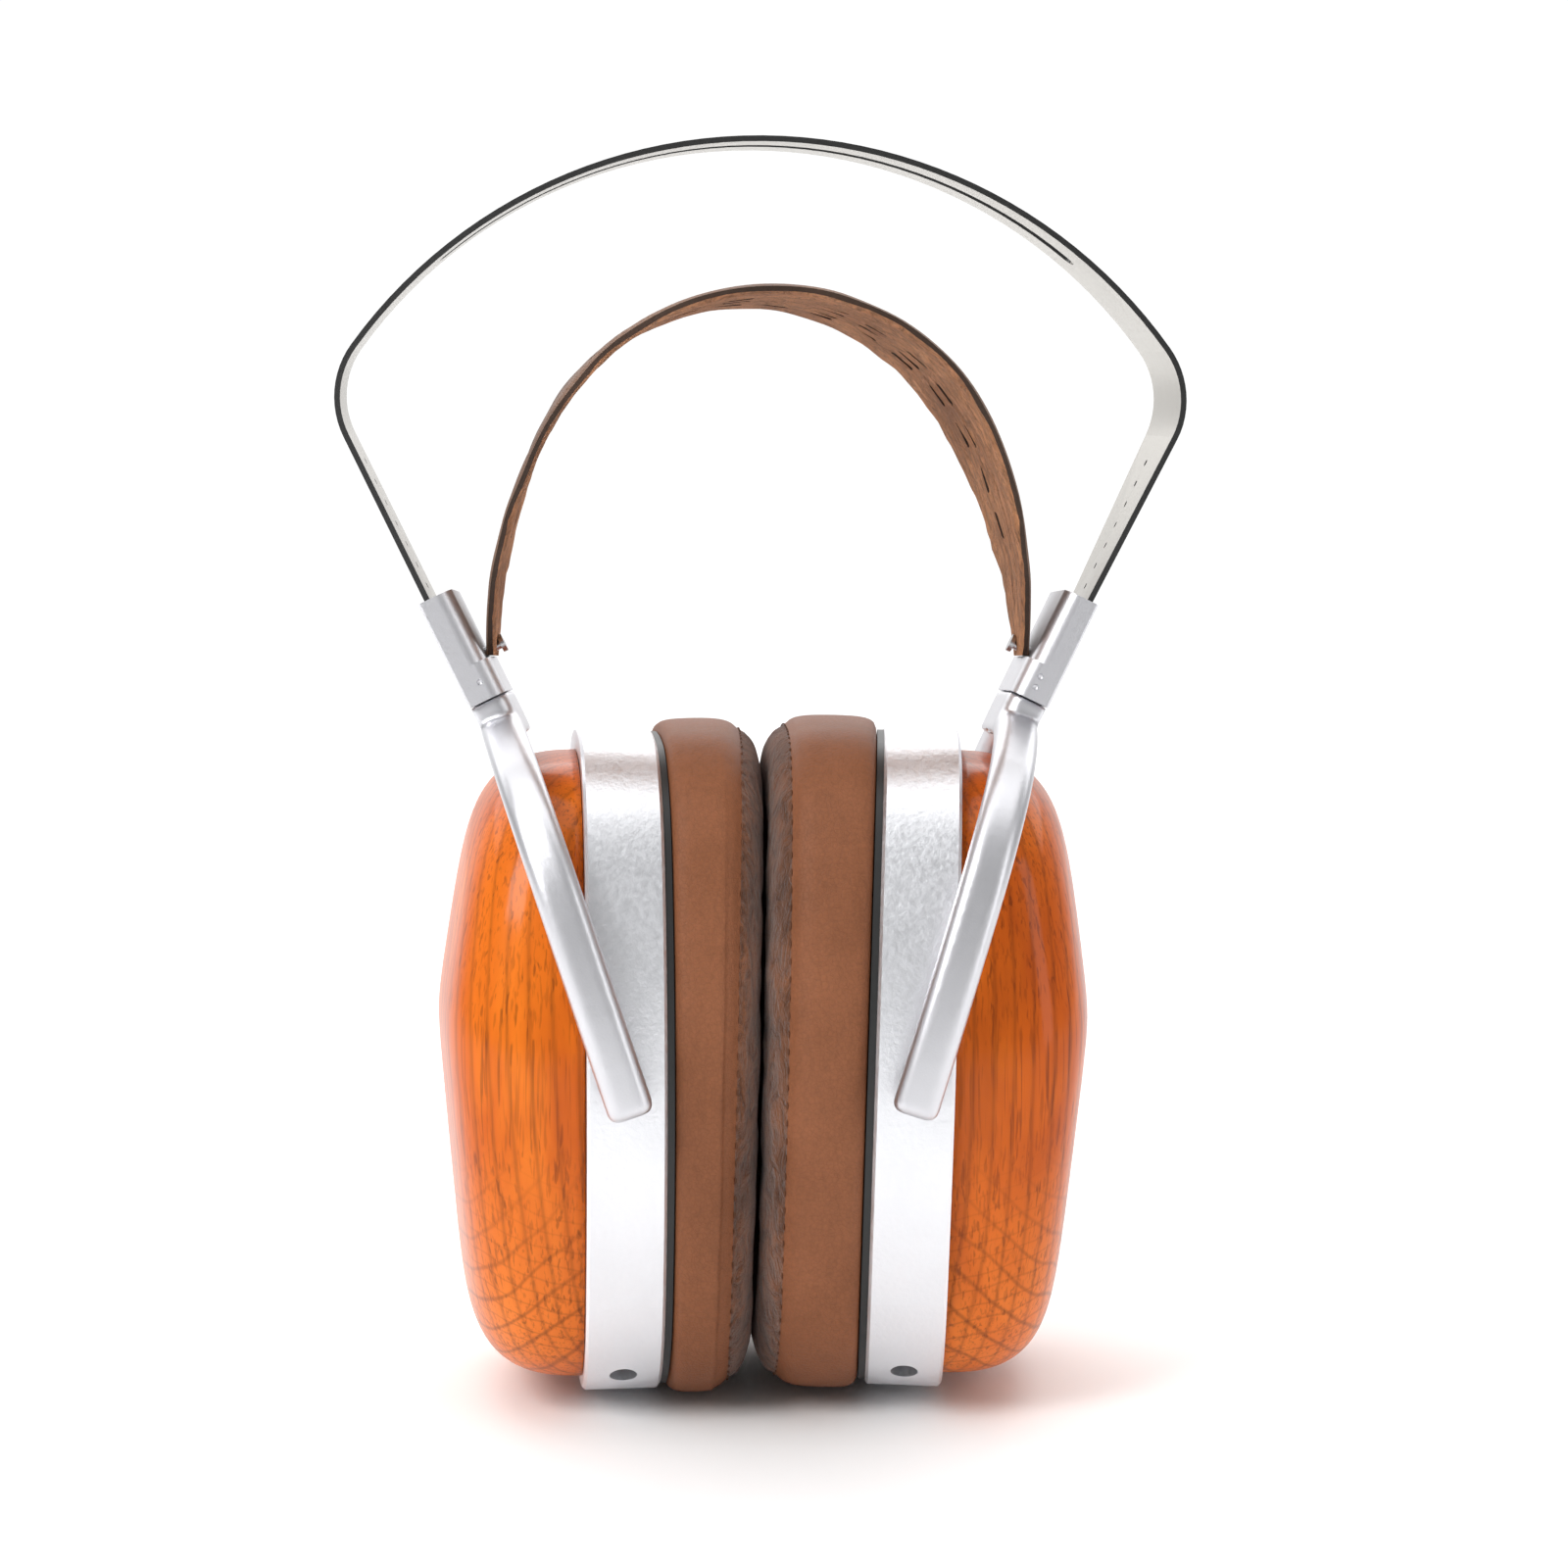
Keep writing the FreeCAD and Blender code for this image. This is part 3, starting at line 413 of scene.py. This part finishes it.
def even_turns(count):
    """Turns at which the outline's points lie evenly along it."""
    samples = 4000
    fine = [index * 2 * math.pi / samples for index in range(samples + 1)]
    points = [Vector(oval_point(turn)) for turn in fine]
    lengths = [0.0]
    for before, after in zip(points, points[1:]):
        lengths.append(lengths[-1] + (after - before).length)
    wanted = [lengths[-1] * index / count for index in range(count)]
    return list(np.interp(wanted, lengths, fine))


def cup_frame(side):
    """The cup's own frame (u outward, v back, w up) as a matrix in millimetres."""
    joint = joints["tilt_" + side]
    sign = SIDES[side]
    pivot = Vector(joint["pos_m"]) / MM
    back = Vector(joint["axis"]) * sign
    yaw = Matrix.Rotation(math.atan2(-back.x, back.y), 4, "Z")
    lean = Matrix.Rotation(sign * math.radians(CUP_LEAN[side]), 4, "Y")
    mirror = Matrix.Scale(sign, 4, (1, 0, 0))
    offset = Matrix.Translation((-PIVOT_U, 0, RING_Z - pivot.z))
    return Matrix.Translation(pivot) @ yaw @ lean @ mirror @ offset


def loop_faces(rings, count, closed_rings=False):
    """Quads between successive rings of count points."""
    faces = []
    last = rings if closed_rings else rings - 1
    for ring in range(last):
        here, there = ring * count, ((ring + 1) % rings) * count
        for index in range(count):
            after = (index + 1) % count
            faces.append((here + index, here + after, there + after, there + index))
    return faces


# ---------------------------------------------------------------- wooden cups

def dome_depth(v, w):
    """How far the wood reaches outward: a soft level ridge, falling to all four sides."""
    upper = math.tan(math.radians(WOOD_UPPER_SLOPE))
    lower = math.tan(math.radians(WOOD_LOWER_SLOPE))
    aside = math.tan(math.radians(WOOD_SIDE_SLOPE))
    ridge_softness, side_softness = 4.0, 16.0
    rise = w - WOOD_RIDGE_HEIGHT
    fall = (upper + lower) / 2 * (math.hypot(rise, ridge_softness) - ridge_softness)
    fall += (upper - lower) / 2 * rise
    fall += aside * (math.hypot(v, side_softness) - side_softness)
    return WOOD_PEAK - fall


def wood_cup(side):
    """Domed wooden cup with a rounded rim, closed by a flat seat against the ring."""
    count, flat_rings, rim_rings = 288, 30, 26
    rim_start, rim_power, rim_roundness = 0.72, 9.0, 2.5
    seat = RING_WIDTH + WOOD_SEAT_GAP
    levels = [rim_start * ring / flat_rings for ring in range(1, flat_rings)]
    first = math.asin(rim_start ** (rim_power / 2))
    for ring in range(rim_rings + 1):
        level = first + (math.pi / 2 - first) * ring / rim_rings
        levels.append(math.sin(level) ** (2 / rim_power))
    place = cup_frame(side)
    turns = even_turns(count)
    points = [place @ Vector((dome_depth(0, 0), 0, -WOOD_DROP))]
    for level in levels:
        rise = max(0.0, 1 - level ** rim_power) ** (1 / rim_roundness)
        for turn in turns:
            v, w = [level * value for value in oval_point(turn, -WOOD_INSET)]
            depth = seat + (dome_depth(v, w) - seat) * rise
            points.append(place @ Vector((depth, v, w - WOOD_DROP)))
    faces = [(0, 1 + index, 1 + (index + 1) % count) for index in range(count)]
    faces += [tuple(corner + 1 for corner in face) for face in loop_faces(len(levels), count)]
    edge = 1 + (len(levels) - 1) * count
    points.append(place @ Vector((seat, 0, -WOOD_DROP)))
    faces += [(len(points) - 1, edge + (index + 1) % count, edge + index) for index in range(count)]
    piece = new_piece("wood_dome_" + side, points, faces, [materials["wood_" + side]])
    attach(piece, "cup_" + side)
    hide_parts("wood_cup_" + side)


# ---------------------------------------------------------------- ear pads

def meeting_distance(place, side, v, w):
    """How far the pad reaches from its plate to where the two pads meet."""
    lean = math.radians(PAD_MEETING_LEAN)
    normal = Vector((math.cos(lean), 0, -math.sin(lean)))
    centre = Vector((PAD_MEETING_X, 0, RING_Z))
    start = place @ Vector((-PAD_PLATE, v, w))
    direction = (place.to_3x3() @ Vector((-1, 0, 0))).normalized()
    gap = SIDES[side] * PAD_MEETING_GAP
    return ((centre + normal * gap - start).dot(normal)) / direction.dot(normal)


PAD_SECTION = [  # (offset from the ring's outline, share of thickness, extra depth)
    (-0.6, 0.0, 0.0), (0.35, 0.0, 1.2), (0.75, 0.15, 0.0), (0.85, 0.30, 0.0), (0.85, 0.45, 0.0),
    (0.75, 0.58, 0.0), (0.5, 1.0, -6.6), (0.0, 1.0, -5.0), (-0.8, 1.0, -3.7), (-1.7, 1.0, -2.7),
    (-2.9, 1.0, -1.8), (-4.3, 1.0, -1.0), (-6.0, 1.0, -0.45), (-8.0, 1.0, -0.15),
    (-10.2, 1.0, -0.1), (-12.2, 1.0, -0.3), (-14.0, 1.0, -1.0), (-15.5, 1.0, -2.3),
    (-16.4, 1.0, -4.2), (-16.8, 0.62, 0.0), (-16.9, 0.45, 0.0), (-16.8, 0.25, 0.0),
    (-16.4, 0.08, 0.0), (-15.6, 0.0, 0.0), (-10.0, 0.0, 0.0), (-5.0, 0.0, 0.0)]
PAD_SHOULDER = 5.0
PAD_SEAM_ROW = 8
PAD_LAST_FACE_ROW = 22
PAD_FIXED_ROWS = (0, 1, 22, 23, 24, 25)
PAD_SWELL_CAP = 0.7
PAD_SEAM_DEPTH = 0.6
PAD_FOLD_HEIGHT = 0.5
PAD_WALL_WAVE = 0.16
PAD_NOISE_SCALE = 190  # folds to a metre
STITCH_RADIUS = 0.17
STITCH_LIFT = 0.34


def pad_point(place, side, turn, row):
    offset, share, extra = PAD_SECTION[row]
    if offset > -PAD_SHOULDER:
        offset += PAD_TOP_SWELL * max(0.0, math.cos(turn)) ** 2
    v, w = oval_point(turn, offset)
    depth = meeting_distance(place, side, v, w)
    return place @ Vector((-PAD_PLATE - depth * share - extra, v, w))


def swell(piece, fixed, cap):
    """Settles a padded piece by cloth simulation. It moves no point by more than the cap."""
    rest = np.array([vertex.co for vertex in piece.data.vertices])
    group = piece.vertex_groups.new(name="fixed")
    group.add(fixed, 1.0, "REPLACE")
    cloth = piece.modifiers.new("Cloth", "CLOTH")
    settings = cloth.settings
    settings.use_pressure = True
    settings.uniform_pressure_force = 4.0
    settings.vertex_group_mass = "fixed"
    settings.effector_weights.gravity = 0.0
    settings.tension_stiffness = 12.0
    settings.compression_stiffness = 12.0
    settings.bending_stiffness = 0.4
    settings.quality = 6
    cloth.collision_settings.use_collision = False
    for step in range(1, 21):
        bpy.context.scene.frame_set(step)
    graph = bpy.context.evaluated_depsgraph_get()
    moved = np.array([vertex.co for vertex in piece.evaluated_get(graph).data.vertices])
    bpy.context.scene.frame_set(1)
    piece.modifiers.clear()
    piece.vertex_groups.clear()
    shift = moved - rest
    lengths = np.linalg.norm(shift, axis=1, keepdims=True)
    shift *= np.minimum(1.0, cap / np.maximum(lengths, 1e-9))
    piece.data.vertices.foreach_set("co", (rest + shift).ravel())
    piece.data.update()


def crease(piece, count, side):
    """Presses in the seam and puckers the napped face, and keeps the pads apart."""
    lean = math.radians(PAD_MEETING_LEAN)
    meeting = Vector((math.cos(lean), 0, -math.sin(lean)))
    centre = Vector((PAD_MEETING_X, 0, RING_Z)) * MM
    sign = SIDES[side]
    normals = [vertex.normal.copy() for vertex in piece.data.vertices]
    for vertex, normal in zip(piece.data.vertices, normals):
        row = vertex.index // count
        place = vertex.co * PAD_NOISE_SCALE
        if row == PAD_SEAM_ROW:
            vertex.co -= normal * (PAD_SEAM_DEPTH * MM)
        elif PAD_SEAM_ROW < row < PAD_LAST_FACE_ROW:
            fold = noise.noise(Vector((place.x * 2.2, place.y, place.z)) + Vector((7, 3, sign)))
            fold += 0.5 * noise.noise(place * 2.7)
            vertex.co += normal * (PAD_FOLD_HEIGHT * MM * fold)
        elif 1 < row < PAD_SEAM_ROW:
            wave = noise.noise(place * 0.55 + Vector((sign, 5, 2)))
            vertex.co += normal * (PAD_WALL_WAVE * MM * wave)
        reach = sign * (vertex.co - centre).dot(meeting)
        if reach < PAD_MEETING_GAP * MM:
            vertex.co += meeting * sign * (PAD_MEETING_GAP * MM - reach)
        vertex.co.z = max(vertex.co.z, cad_box[0][2])


def stitches(side, seam):
    """Short threads along the pad's seam, each a small rounded bead."""
    points, faces = [], []
    around, along = 6, 5
    count = len(seam)
    for index in range(0, count, 2):
        start, end = seam[index], seam[(index + 1) % count]
        axis = (end - start).normalized()
        across = axis.orthogonal().normalized()
        other = axis.cross(across)
        first = len(points)
        for step in range(along):
            share = step / (along - 1)
            radius = STITCH_RADIUS * math.sqrt(max(0.08, 1 - (2 * share - 1) ** 2))
            middle = start.lerp(end, 0.1 + 0.8 * share)
            for spoke in range(around):
                turn = 2 * math.pi * spoke / around
                points.append(middle + (across * math.cos(turn) + other * math.sin(turn)) * radius)
        faces += [tuple(corner + first for corner in face) for face in loop_faces(along, around)]
        faces.append(tuple(first + spoke for spoke in range(around)))
        faces.append(tuple(first + (along - 1) * around + spoke for spoke in range(around)))
    return new_piece("pad_stitches_" + side, points, faces, [materials["pad_thread"]])


def ear_pad(side):
    """Padded ring: smooth leather wall, a sewn seam and a napped face and ear hole."""
    count = 236
    rows = len(PAD_SECTION)
    place = cup_frame(side)
    turns = even_turns(count)
    points = [pad_point(place, side, turn, row) for row in range(rows) for turn in turns]
    faces = loop_faces(rows, count, closed_rings=True)
    looks = [1 if PAD_SEAM_ROW <= face[0] // count <= PAD_LAST_FACE_ROW else 0 for face in faces]
    piece = new_piece("ear_cushion_" + side, points, faces,
                      [materials["pad_wall"], materials["pad_face"]], looks)
    fixed = [row * count + index for row in PAD_FIXED_ROWS for index in range(count)]
    swell(piece, fixed, PAD_SWELL_CAP * MM)
    crease(piece, count, side)
    seam = [piece.data.vertices[PAD_SEAM_ROW * count + index].co / MM for index in range(count)]
    normals = [piece.data.vertices[PAD_SEAM_ROW * count + index].normal for index in range(count)]
    seam = [point + normal * STITCH_LIFT for point, normal in zip(seam, normals)]
    threads = stitches(side, seam)
    smooth = piece.modifiers.new("Subdivision", "SUBSURF")
    smooth.levels = smooth.render_levels = 1
    apply_modifiers(piece)
    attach(piece, "cup_" + side)
    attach(threads, "cup_" + side)
    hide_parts("ear_pad_" + side)


# ---------------------------------------------------------------- head strap

def strap_length():
    """The lengths of the crown's arc, from the middle, and of the flatter arc beyond it."""
    crown = STRAP_CROWN_RADIUS * math.radians(STRAP_CROWN_ANGLE)
    return crown, STRAP_SIDE_RADIUS * math.radians(STRAP_END_ANGLE - STRAP_CROWN_ANGLE)


def strap_place(along):
    """The strap's outer line: the point and its heading at a distance from the middle."""
    crown, flank = strap_length()
    distance = abs(along)
    heading = min(distance, crown) / STRAP_CROWN_RADIUS
    x = STRAP_CROWN_RADIUS * math.sin(heading)
    z = STRAP_TOP - STRAP_CROWN_RADIUS * (1 - math.cos(heading))
    if distance > crown:
        start = heading
        heading = start + min(distance - crown, flank) / STRAP_SIDE_RADIUS
        x += STRAP_SIDE_RADIUS * (math.sin(heading) - math.sin(start))
        z += STRAP_SIDE_RADIUS * (math.cos(heading) - math.cos(start))
    if distance > crown + flank:
        rest = distance - crown - flank
        x += rest * math.cos(heading)
        z -= rest * math.sin(heading)
    sign = 1 if along >= 0 else -1
    return Vector((sign * x, 0, z)), Vector((sign * math.sin(heading), 0, math.cos(heading)))


def strap_half_width(along):
    """Leaf outline: widest over the head, narrow where it joins the sleeves."""
    share = min(1.0, abs(along) / (sum(strap_length()) + STRAP_TAIL))
    wide = math.cos(share ** 1.15 * math.pi / 2) ** 0.9
    return STRAP_END_HALF_WIDTH + (STRAP_HALF_WIDTH - STRAP_END_HALF_WIDTH) * wide


# Where the twist of a strip starts and is whole (heights), and its yaw and pitch as slopes.
STRAP_LIE = (128.0, 175.0, 0.055, 0.090)
BAND_LIE = (150.0, 170.0, 0.06, 0.105)
SLOT_PITCH = 8.7
SLOT_LENGTH = 5.2
SLOT_WIDTH = 2.2
SLOT_STRAIGHT = (SLOT_LENGTH - SLOT_WIDTH) / 2
SLOT_CLEARANCE = 0.5
SLOT_SPACING = 9.0
STRAP_STEP = 1.6
STRAP_WAVE = 0.35
STRAP_PUCKER = 0.25
STRAP_ROUNDING = 0.45
STRAP_ROUNDING_WIDTH = 1.2
STRAP_CALM_END = 12.0
SLOTS_PER_ROW = (4, 4, 3, 3, 2, 2, 1, 1)


def lie(point, base, top, yaw, pitch):
    """Turns a strip's width a little, more and more from the sleeves up to the crown."""
    share = min(1.0, max(0.0, (point.z - base) / (top - base)))
    share *= share * (3 - 2 * share)
    return point + Vector((-yaw, 0, pitch)) * (point.y * share)


def strap_slots():
    """Centres of the slots, as (distance along, distance across)."""
    slots = []
    for row, number in enumerate(SLOTS_PER_ROW):
        for sign in (-1, 1):
            along = sign * SLOT_PITCH * (row + 0.5)
            spacing = min(SLOT_SPACING, 1.5 * strap_half_width(along) / max(number, 2))
            for index in range(number):
                slots.append((along, (index - (number - 1) / 2) * spacing))
    return slots


def slot_outline(along, across):
    """A slot with round ends, as points on the flat strap."""
    outline = []
    for index in range(12):
        angle = 2 * math.pi * (index + 0.5) / 12
        shift = SLOT_STRAIGHT if math.cos(angle) > 0 else -SLOT_STRAIGHT
        outline.append((along + shift + SLOT_WIDTH / 2 * math.cos(angle),
                        across + SLOT_WIDTH / 2 * math.sin(angle)))
    return outline


def flat_strap_half(slots, reach):
    """Points and triangles of one half of the strap laid flat, with its slots cut out."""
    steps = int(reach / STRAP_STEP)
    stations = [reach * index / steps for index in range(steps + 1)]
    middle_cut = [(0.0, -strap_half_width(0) + 2 * strap_half_width(0) * index / 40)
                  for index in range(1, 40)]
    end_cut = [(reach, strap_half_width(reach) * (1 - index / 4)) for index in range(1, 8)]
    rim = [(s, strap_half_width(s)) for s in stations]
    other_rim = [(s, -strap_half_width(s)) for s in reversed(stations)]
    points, edges = [], []
    for outline in [rim + end_cut + other_rim + middle_cut] + [slot_outline(*slot) for slot in slots]:
        first = len(points)
        points.extend(Vector(point) for point in outline)
        edges += [(first + index, first + (index + 1) % len(outline)) for index in range(len(outline))]
    for s in stations[1:-1]:
        lanes = int(2 * strap_half_width(s) / STRAP_STEP)
        for lane in range(1, lanes):
            across = -strap_half_width(s) + 2 * strap_half_width(s) * lane / lanes
            if not any(abs(s - slot_s) < SLOT_LENGTH / 2 + SLOT_CLEARANCE
                       and abs(across - slot_across) < SLOT_WIDTH / 2 + SLOT_CLEARANCE
                       for slot_s, slot_across in slots):
                points.append(Vector((s, across)))
    flat, _, triangles, _, _, _ = delaunay_2d_cdt(points, edges, [], 0, 1e-5)

    def is_leather(face):
        middle = sum((flat[index] for index in face), Vector((0, 0))) / len(face)
        if abs(middle.y) > strap_half_width(middle.x) or not 0 < middle.x < reach:
            return False
        for along, across in slots:
            nearest = min(max(middle.x, along - SLOT_STRAIGHT), along + SLOT_STRAIGHT)
            if math.hypot(middle.x - nearest, middle.y - across) < SLOT_WIDTH / 2 * 0.99:
                return False
        return True

    return flat, [face for face in triangles if is_leather(face)]


def bent_strap_point(point, sign, reach):
    """Where a point of the flat strap lies on its upper and its lower side."""
    along, across = sign * point.x, point.y
    line, out = strap_place(along)
    wave = STRAP_WAVE * noise.noise(Vector((point.x * 0.09, across * 0.16, sign * 4.0)))
    wave *= min(1.0, point.x / STRAP_CALM_END) * min(1.0, (reach - point.x) / STRAP_CALM_END)
    pucker = STRAP_PUCKER * noise.noise(Vector((along * 0.14, across * 0.7, 9.0)))
    edge = strap_half_width(point.x) - abs(across)
    rounding = STRAP_ROUNDING * max(0.0, 1 - edge / STRAP_ROUNDING_WIDTH) ** 2
    line = line + Vector((0, across, 0))
    return (lie(line + out * (wave - rounding), *STRAP_LIE),
            lie(line + out * (wave - STRAP_THICK + pucker + rounding), *STRAP_LIE))


def drop_loose_points(mesh):
    """Removes the points that no face uses."""
    shaped = bmesh.new()
    shaped.from_mesh(mesh)
    loose = [vertex for vertex in shaped.verts if not vertex.link_faces]
    bmesh.ops.delete(shaped, geom=loose, context="VERTS")
    shaped.to_mesh(mesh)
    shaped.free()


def strap_half(side):
    """One half of the strap, from the middle of the crown to its sleeve."""
    sign = SIDES[side]
    reach = sum(strap_length()) + STRAP_TAIL
    slots = [(along * sign, across) for along, across in strap_slots() if along * sign > 0]
    flat, kept = flat_strap_half(slots, reach)
    upper, lower = zip(*[bent_strap_point(point, sign, reach) for point in flat])
    count = len(flat)
    faces = [tuple(face) for face in kept]
    faces += [tuple(index + count for index in reversed(face)) for face in kept]
    edges = [edge for face in kept for edge in zip(face, face[1:] + face[:1])]
    shared = set(edges)
    walls = [(second, first, first + count, second + count) for first, second in edges
             if (second, first) not in shared]
    looks = [0] * len(kept) + [1] * len(kept) + [2] * len(walls)
    piece = new_piece("head_strap_" + side, upper + lower, faces + walls,
                      [materials["strap_top"], materials["strap_under"], materials["strap_edge"]],
                      looks)
    drop_loose_points(piece.data)
    piece.data.set_sharp_from_angle(angle=math.radians(40))
    foot = strap_place(sign * reach)[0] * MM
    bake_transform(piece)
    return piece


# ---------------------------------------------------------------- spring band

def copy_of(node, name):
    """A copy of a CAD node's mesh, as a piece of its own."""
    mesh = frame["nodes"][node].data.copy()
    piece = bpy.data.objects.new(name, mesh)
    bpy.context.scene.collection.objects.link(piece)
    mesh.materials.clear()
    return piece


def spring_band():
    """The steel strip, with a slight natural twist, and its cut edges painted near black as shade."""
    piece = copy_of("band", "spring_strip")
    for vertex in piece.data.vertices:
        vertex.co = lie(vertex.co / MM, *BAND_LIE) * MM
    piece.data.materials.append(materials["spring_steel"])
    piece.data.materials.append(materials["steel_edge"])
    # The cut edges get the near-black steel as painted shade.
    for polygon in piece.data.polygons:
        polygon.material_index = 1 if abs(polygon.normal.y) > 0.7 else 0
    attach(piece, "headband")
    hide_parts("band")


# ---------------------------------------------------------------- forks

FORK_VOXEL = 0.4


def fork(side):
    """The yoke with softly blended corners, as a casting has."""
    piece = copy_of("yoke_" + side, "fork_casting_" + side)
    remesh = piece.modifiers.new("Remesh", "REMESH")
    remesh.mode = "VOXEL"
    remesh.voxel_size = FORK_VOXEL * MM
    remesh.use_smooth_shade = True
    soften = piece.modifiers.new("Smooth", "SMOOTH")
    soften.factor = 0.5
    soften.iterations = 14
    apply_modifiers(piece)
    piece.data.materials.append(materials["satin_aluminium"])
    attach(piece, "fork_" + side)
    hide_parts("yoke_" + side)


# ---------------------------------------------------------------- CAD pieces that stay

def dress_cad_nodes():
    """Gives every CAD node that still shows its own material."""
    finishes = {part["node"]: part["material_slot"] for part in frame["record"]["subparts"]}
    for name, node in frame["nodes"].items():
        if finishes[name] in materials:
            for slot in node.material_slots:
                slot.material = materials[finishes[name]]


# ---------------------------------------------------------------- stage

def add_stage():
    """A plain pale floor that runs out of sight."""
    half = 6.0
    mesh = bpy.data.meshes.new("floor")
    mesh.from_pydata([(-half, -half, 0), (half, -half, 0), (half, half, 0), (-half, half, 0)], [],
                     [(0, 1, 2, 3)])
    floor = bpy.data.objects.new("floor", mesh)
    bpy.context.scene.collection.objects.link(floor)
    material, nodes, links, shader = new_material("floor_paint")
    cloud = noise_texture(nodes, links, mapped(nodes, links, (1, 1, 1)), 3.0)
    links.new(mix(nodes, links, cloud, (0.94, 0.94, 0.94), (0.96, 0.96, 0.96)),
              shader.inputs["Base Color"])
    shader.inputs["Roughness"].default_value = 0.75
    mesh.materials.append(material)


def add_light(name, place, target, size, power):
    light = bpy.data.lights.new(name, "AREA")
    light.shape = "RECTANGLE"
    light.size, light.size_y = size
    light.energy = power
    lamp = bpy.data.objects.new(name, light)
    lamp.location = place
    lamp.rotation_euler = (Vector(target) - Vector(place)).to_track_quat("-Z", "Y").to_euler()
    bpy.context.scene.collection.objects.link(lamp)


def add_lights():
    world = bpy.data.worlds.new("studio")
    bpy.context.scene.world = world
    world.use_nodes = True
    nodes, links = world.node_tree.nodes, world.node_tree.links
    coords = nodes.new("ShaderNodeTexCoord")
    direction = nodes.new("ShaderNodeSeparateXYZ")
    links.new(coords.outputs["Generated"], direction.inputs["Vector"])
    level = nodes.new("ShaderNodeMapRange")
    level.inputs["From Min"].default_value = 0.55
    level.inputs["From Max"].default_value = 0.88
    level.inputs["To Min"].default_value = 0.38
    level.inputs["To Max"].default_value = 1.05
    links.new(direction.outputs["Y"], level.inputs["Value"])
    links.new(level.outputs["Result"], nodes["Background"].inputs["Strength"])
    nodes["Background"].inputs["Color"].default_value = (1, 1, 1, 1)
    middle = (0, 0, 0.09)
    add_light("key", (-0.65, -0.65, 0.75), middle, (0.45, 0.6), 8.0)
    add_light("fill", (0.9, -0.6, 0.35), middle, (0.3, 0.9), 2.0)
    add_light("top", (0.0, 0.1, 1.1), middle, (1.2, 1.2), 7.0)
    add_light("far_floor", (0.0, 3.6, 2.4), (0.0, 3.8, 0.0), (9.0, 5.0), 230.0)


def add_camera():
    """The camera at the reference view: in front, a little left, just above the middle."""
    place = Vector((-15.5, -480.0, 128.0)) * MM
    yaw, pitch, frame_focal, sensor = 2.4, 2.66, 1.725, 36.0
    data = bpy.data.cameras.new("camera")
    data.sensor_width = sensor
    data.lens = frame_focal * sensor
    data.clip_start = 0.01
    camera = bpy.data.objects.new("camera", data)
    camera.location = place
    camera.rotation_euler = (math.radians(90 - pitch), 0, math.radians(-yaw))
    bpy.context.scene.collection.objects.link(camera)
    bpy.context.scene.camera = camera


# ---------------------------------------------------------------- the scene

add_camera()
add_lights()
add_stage()
for cup_side in SIDES:
    wood_cup(cup_side)
    ear_pad(cup_side)
    fork(cup_side)
    strap_half(cup_side)
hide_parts("strap")
spring_band()
dress_cad_nodes()
bpy.context.scene.view_settings.view_transform = "Standard"
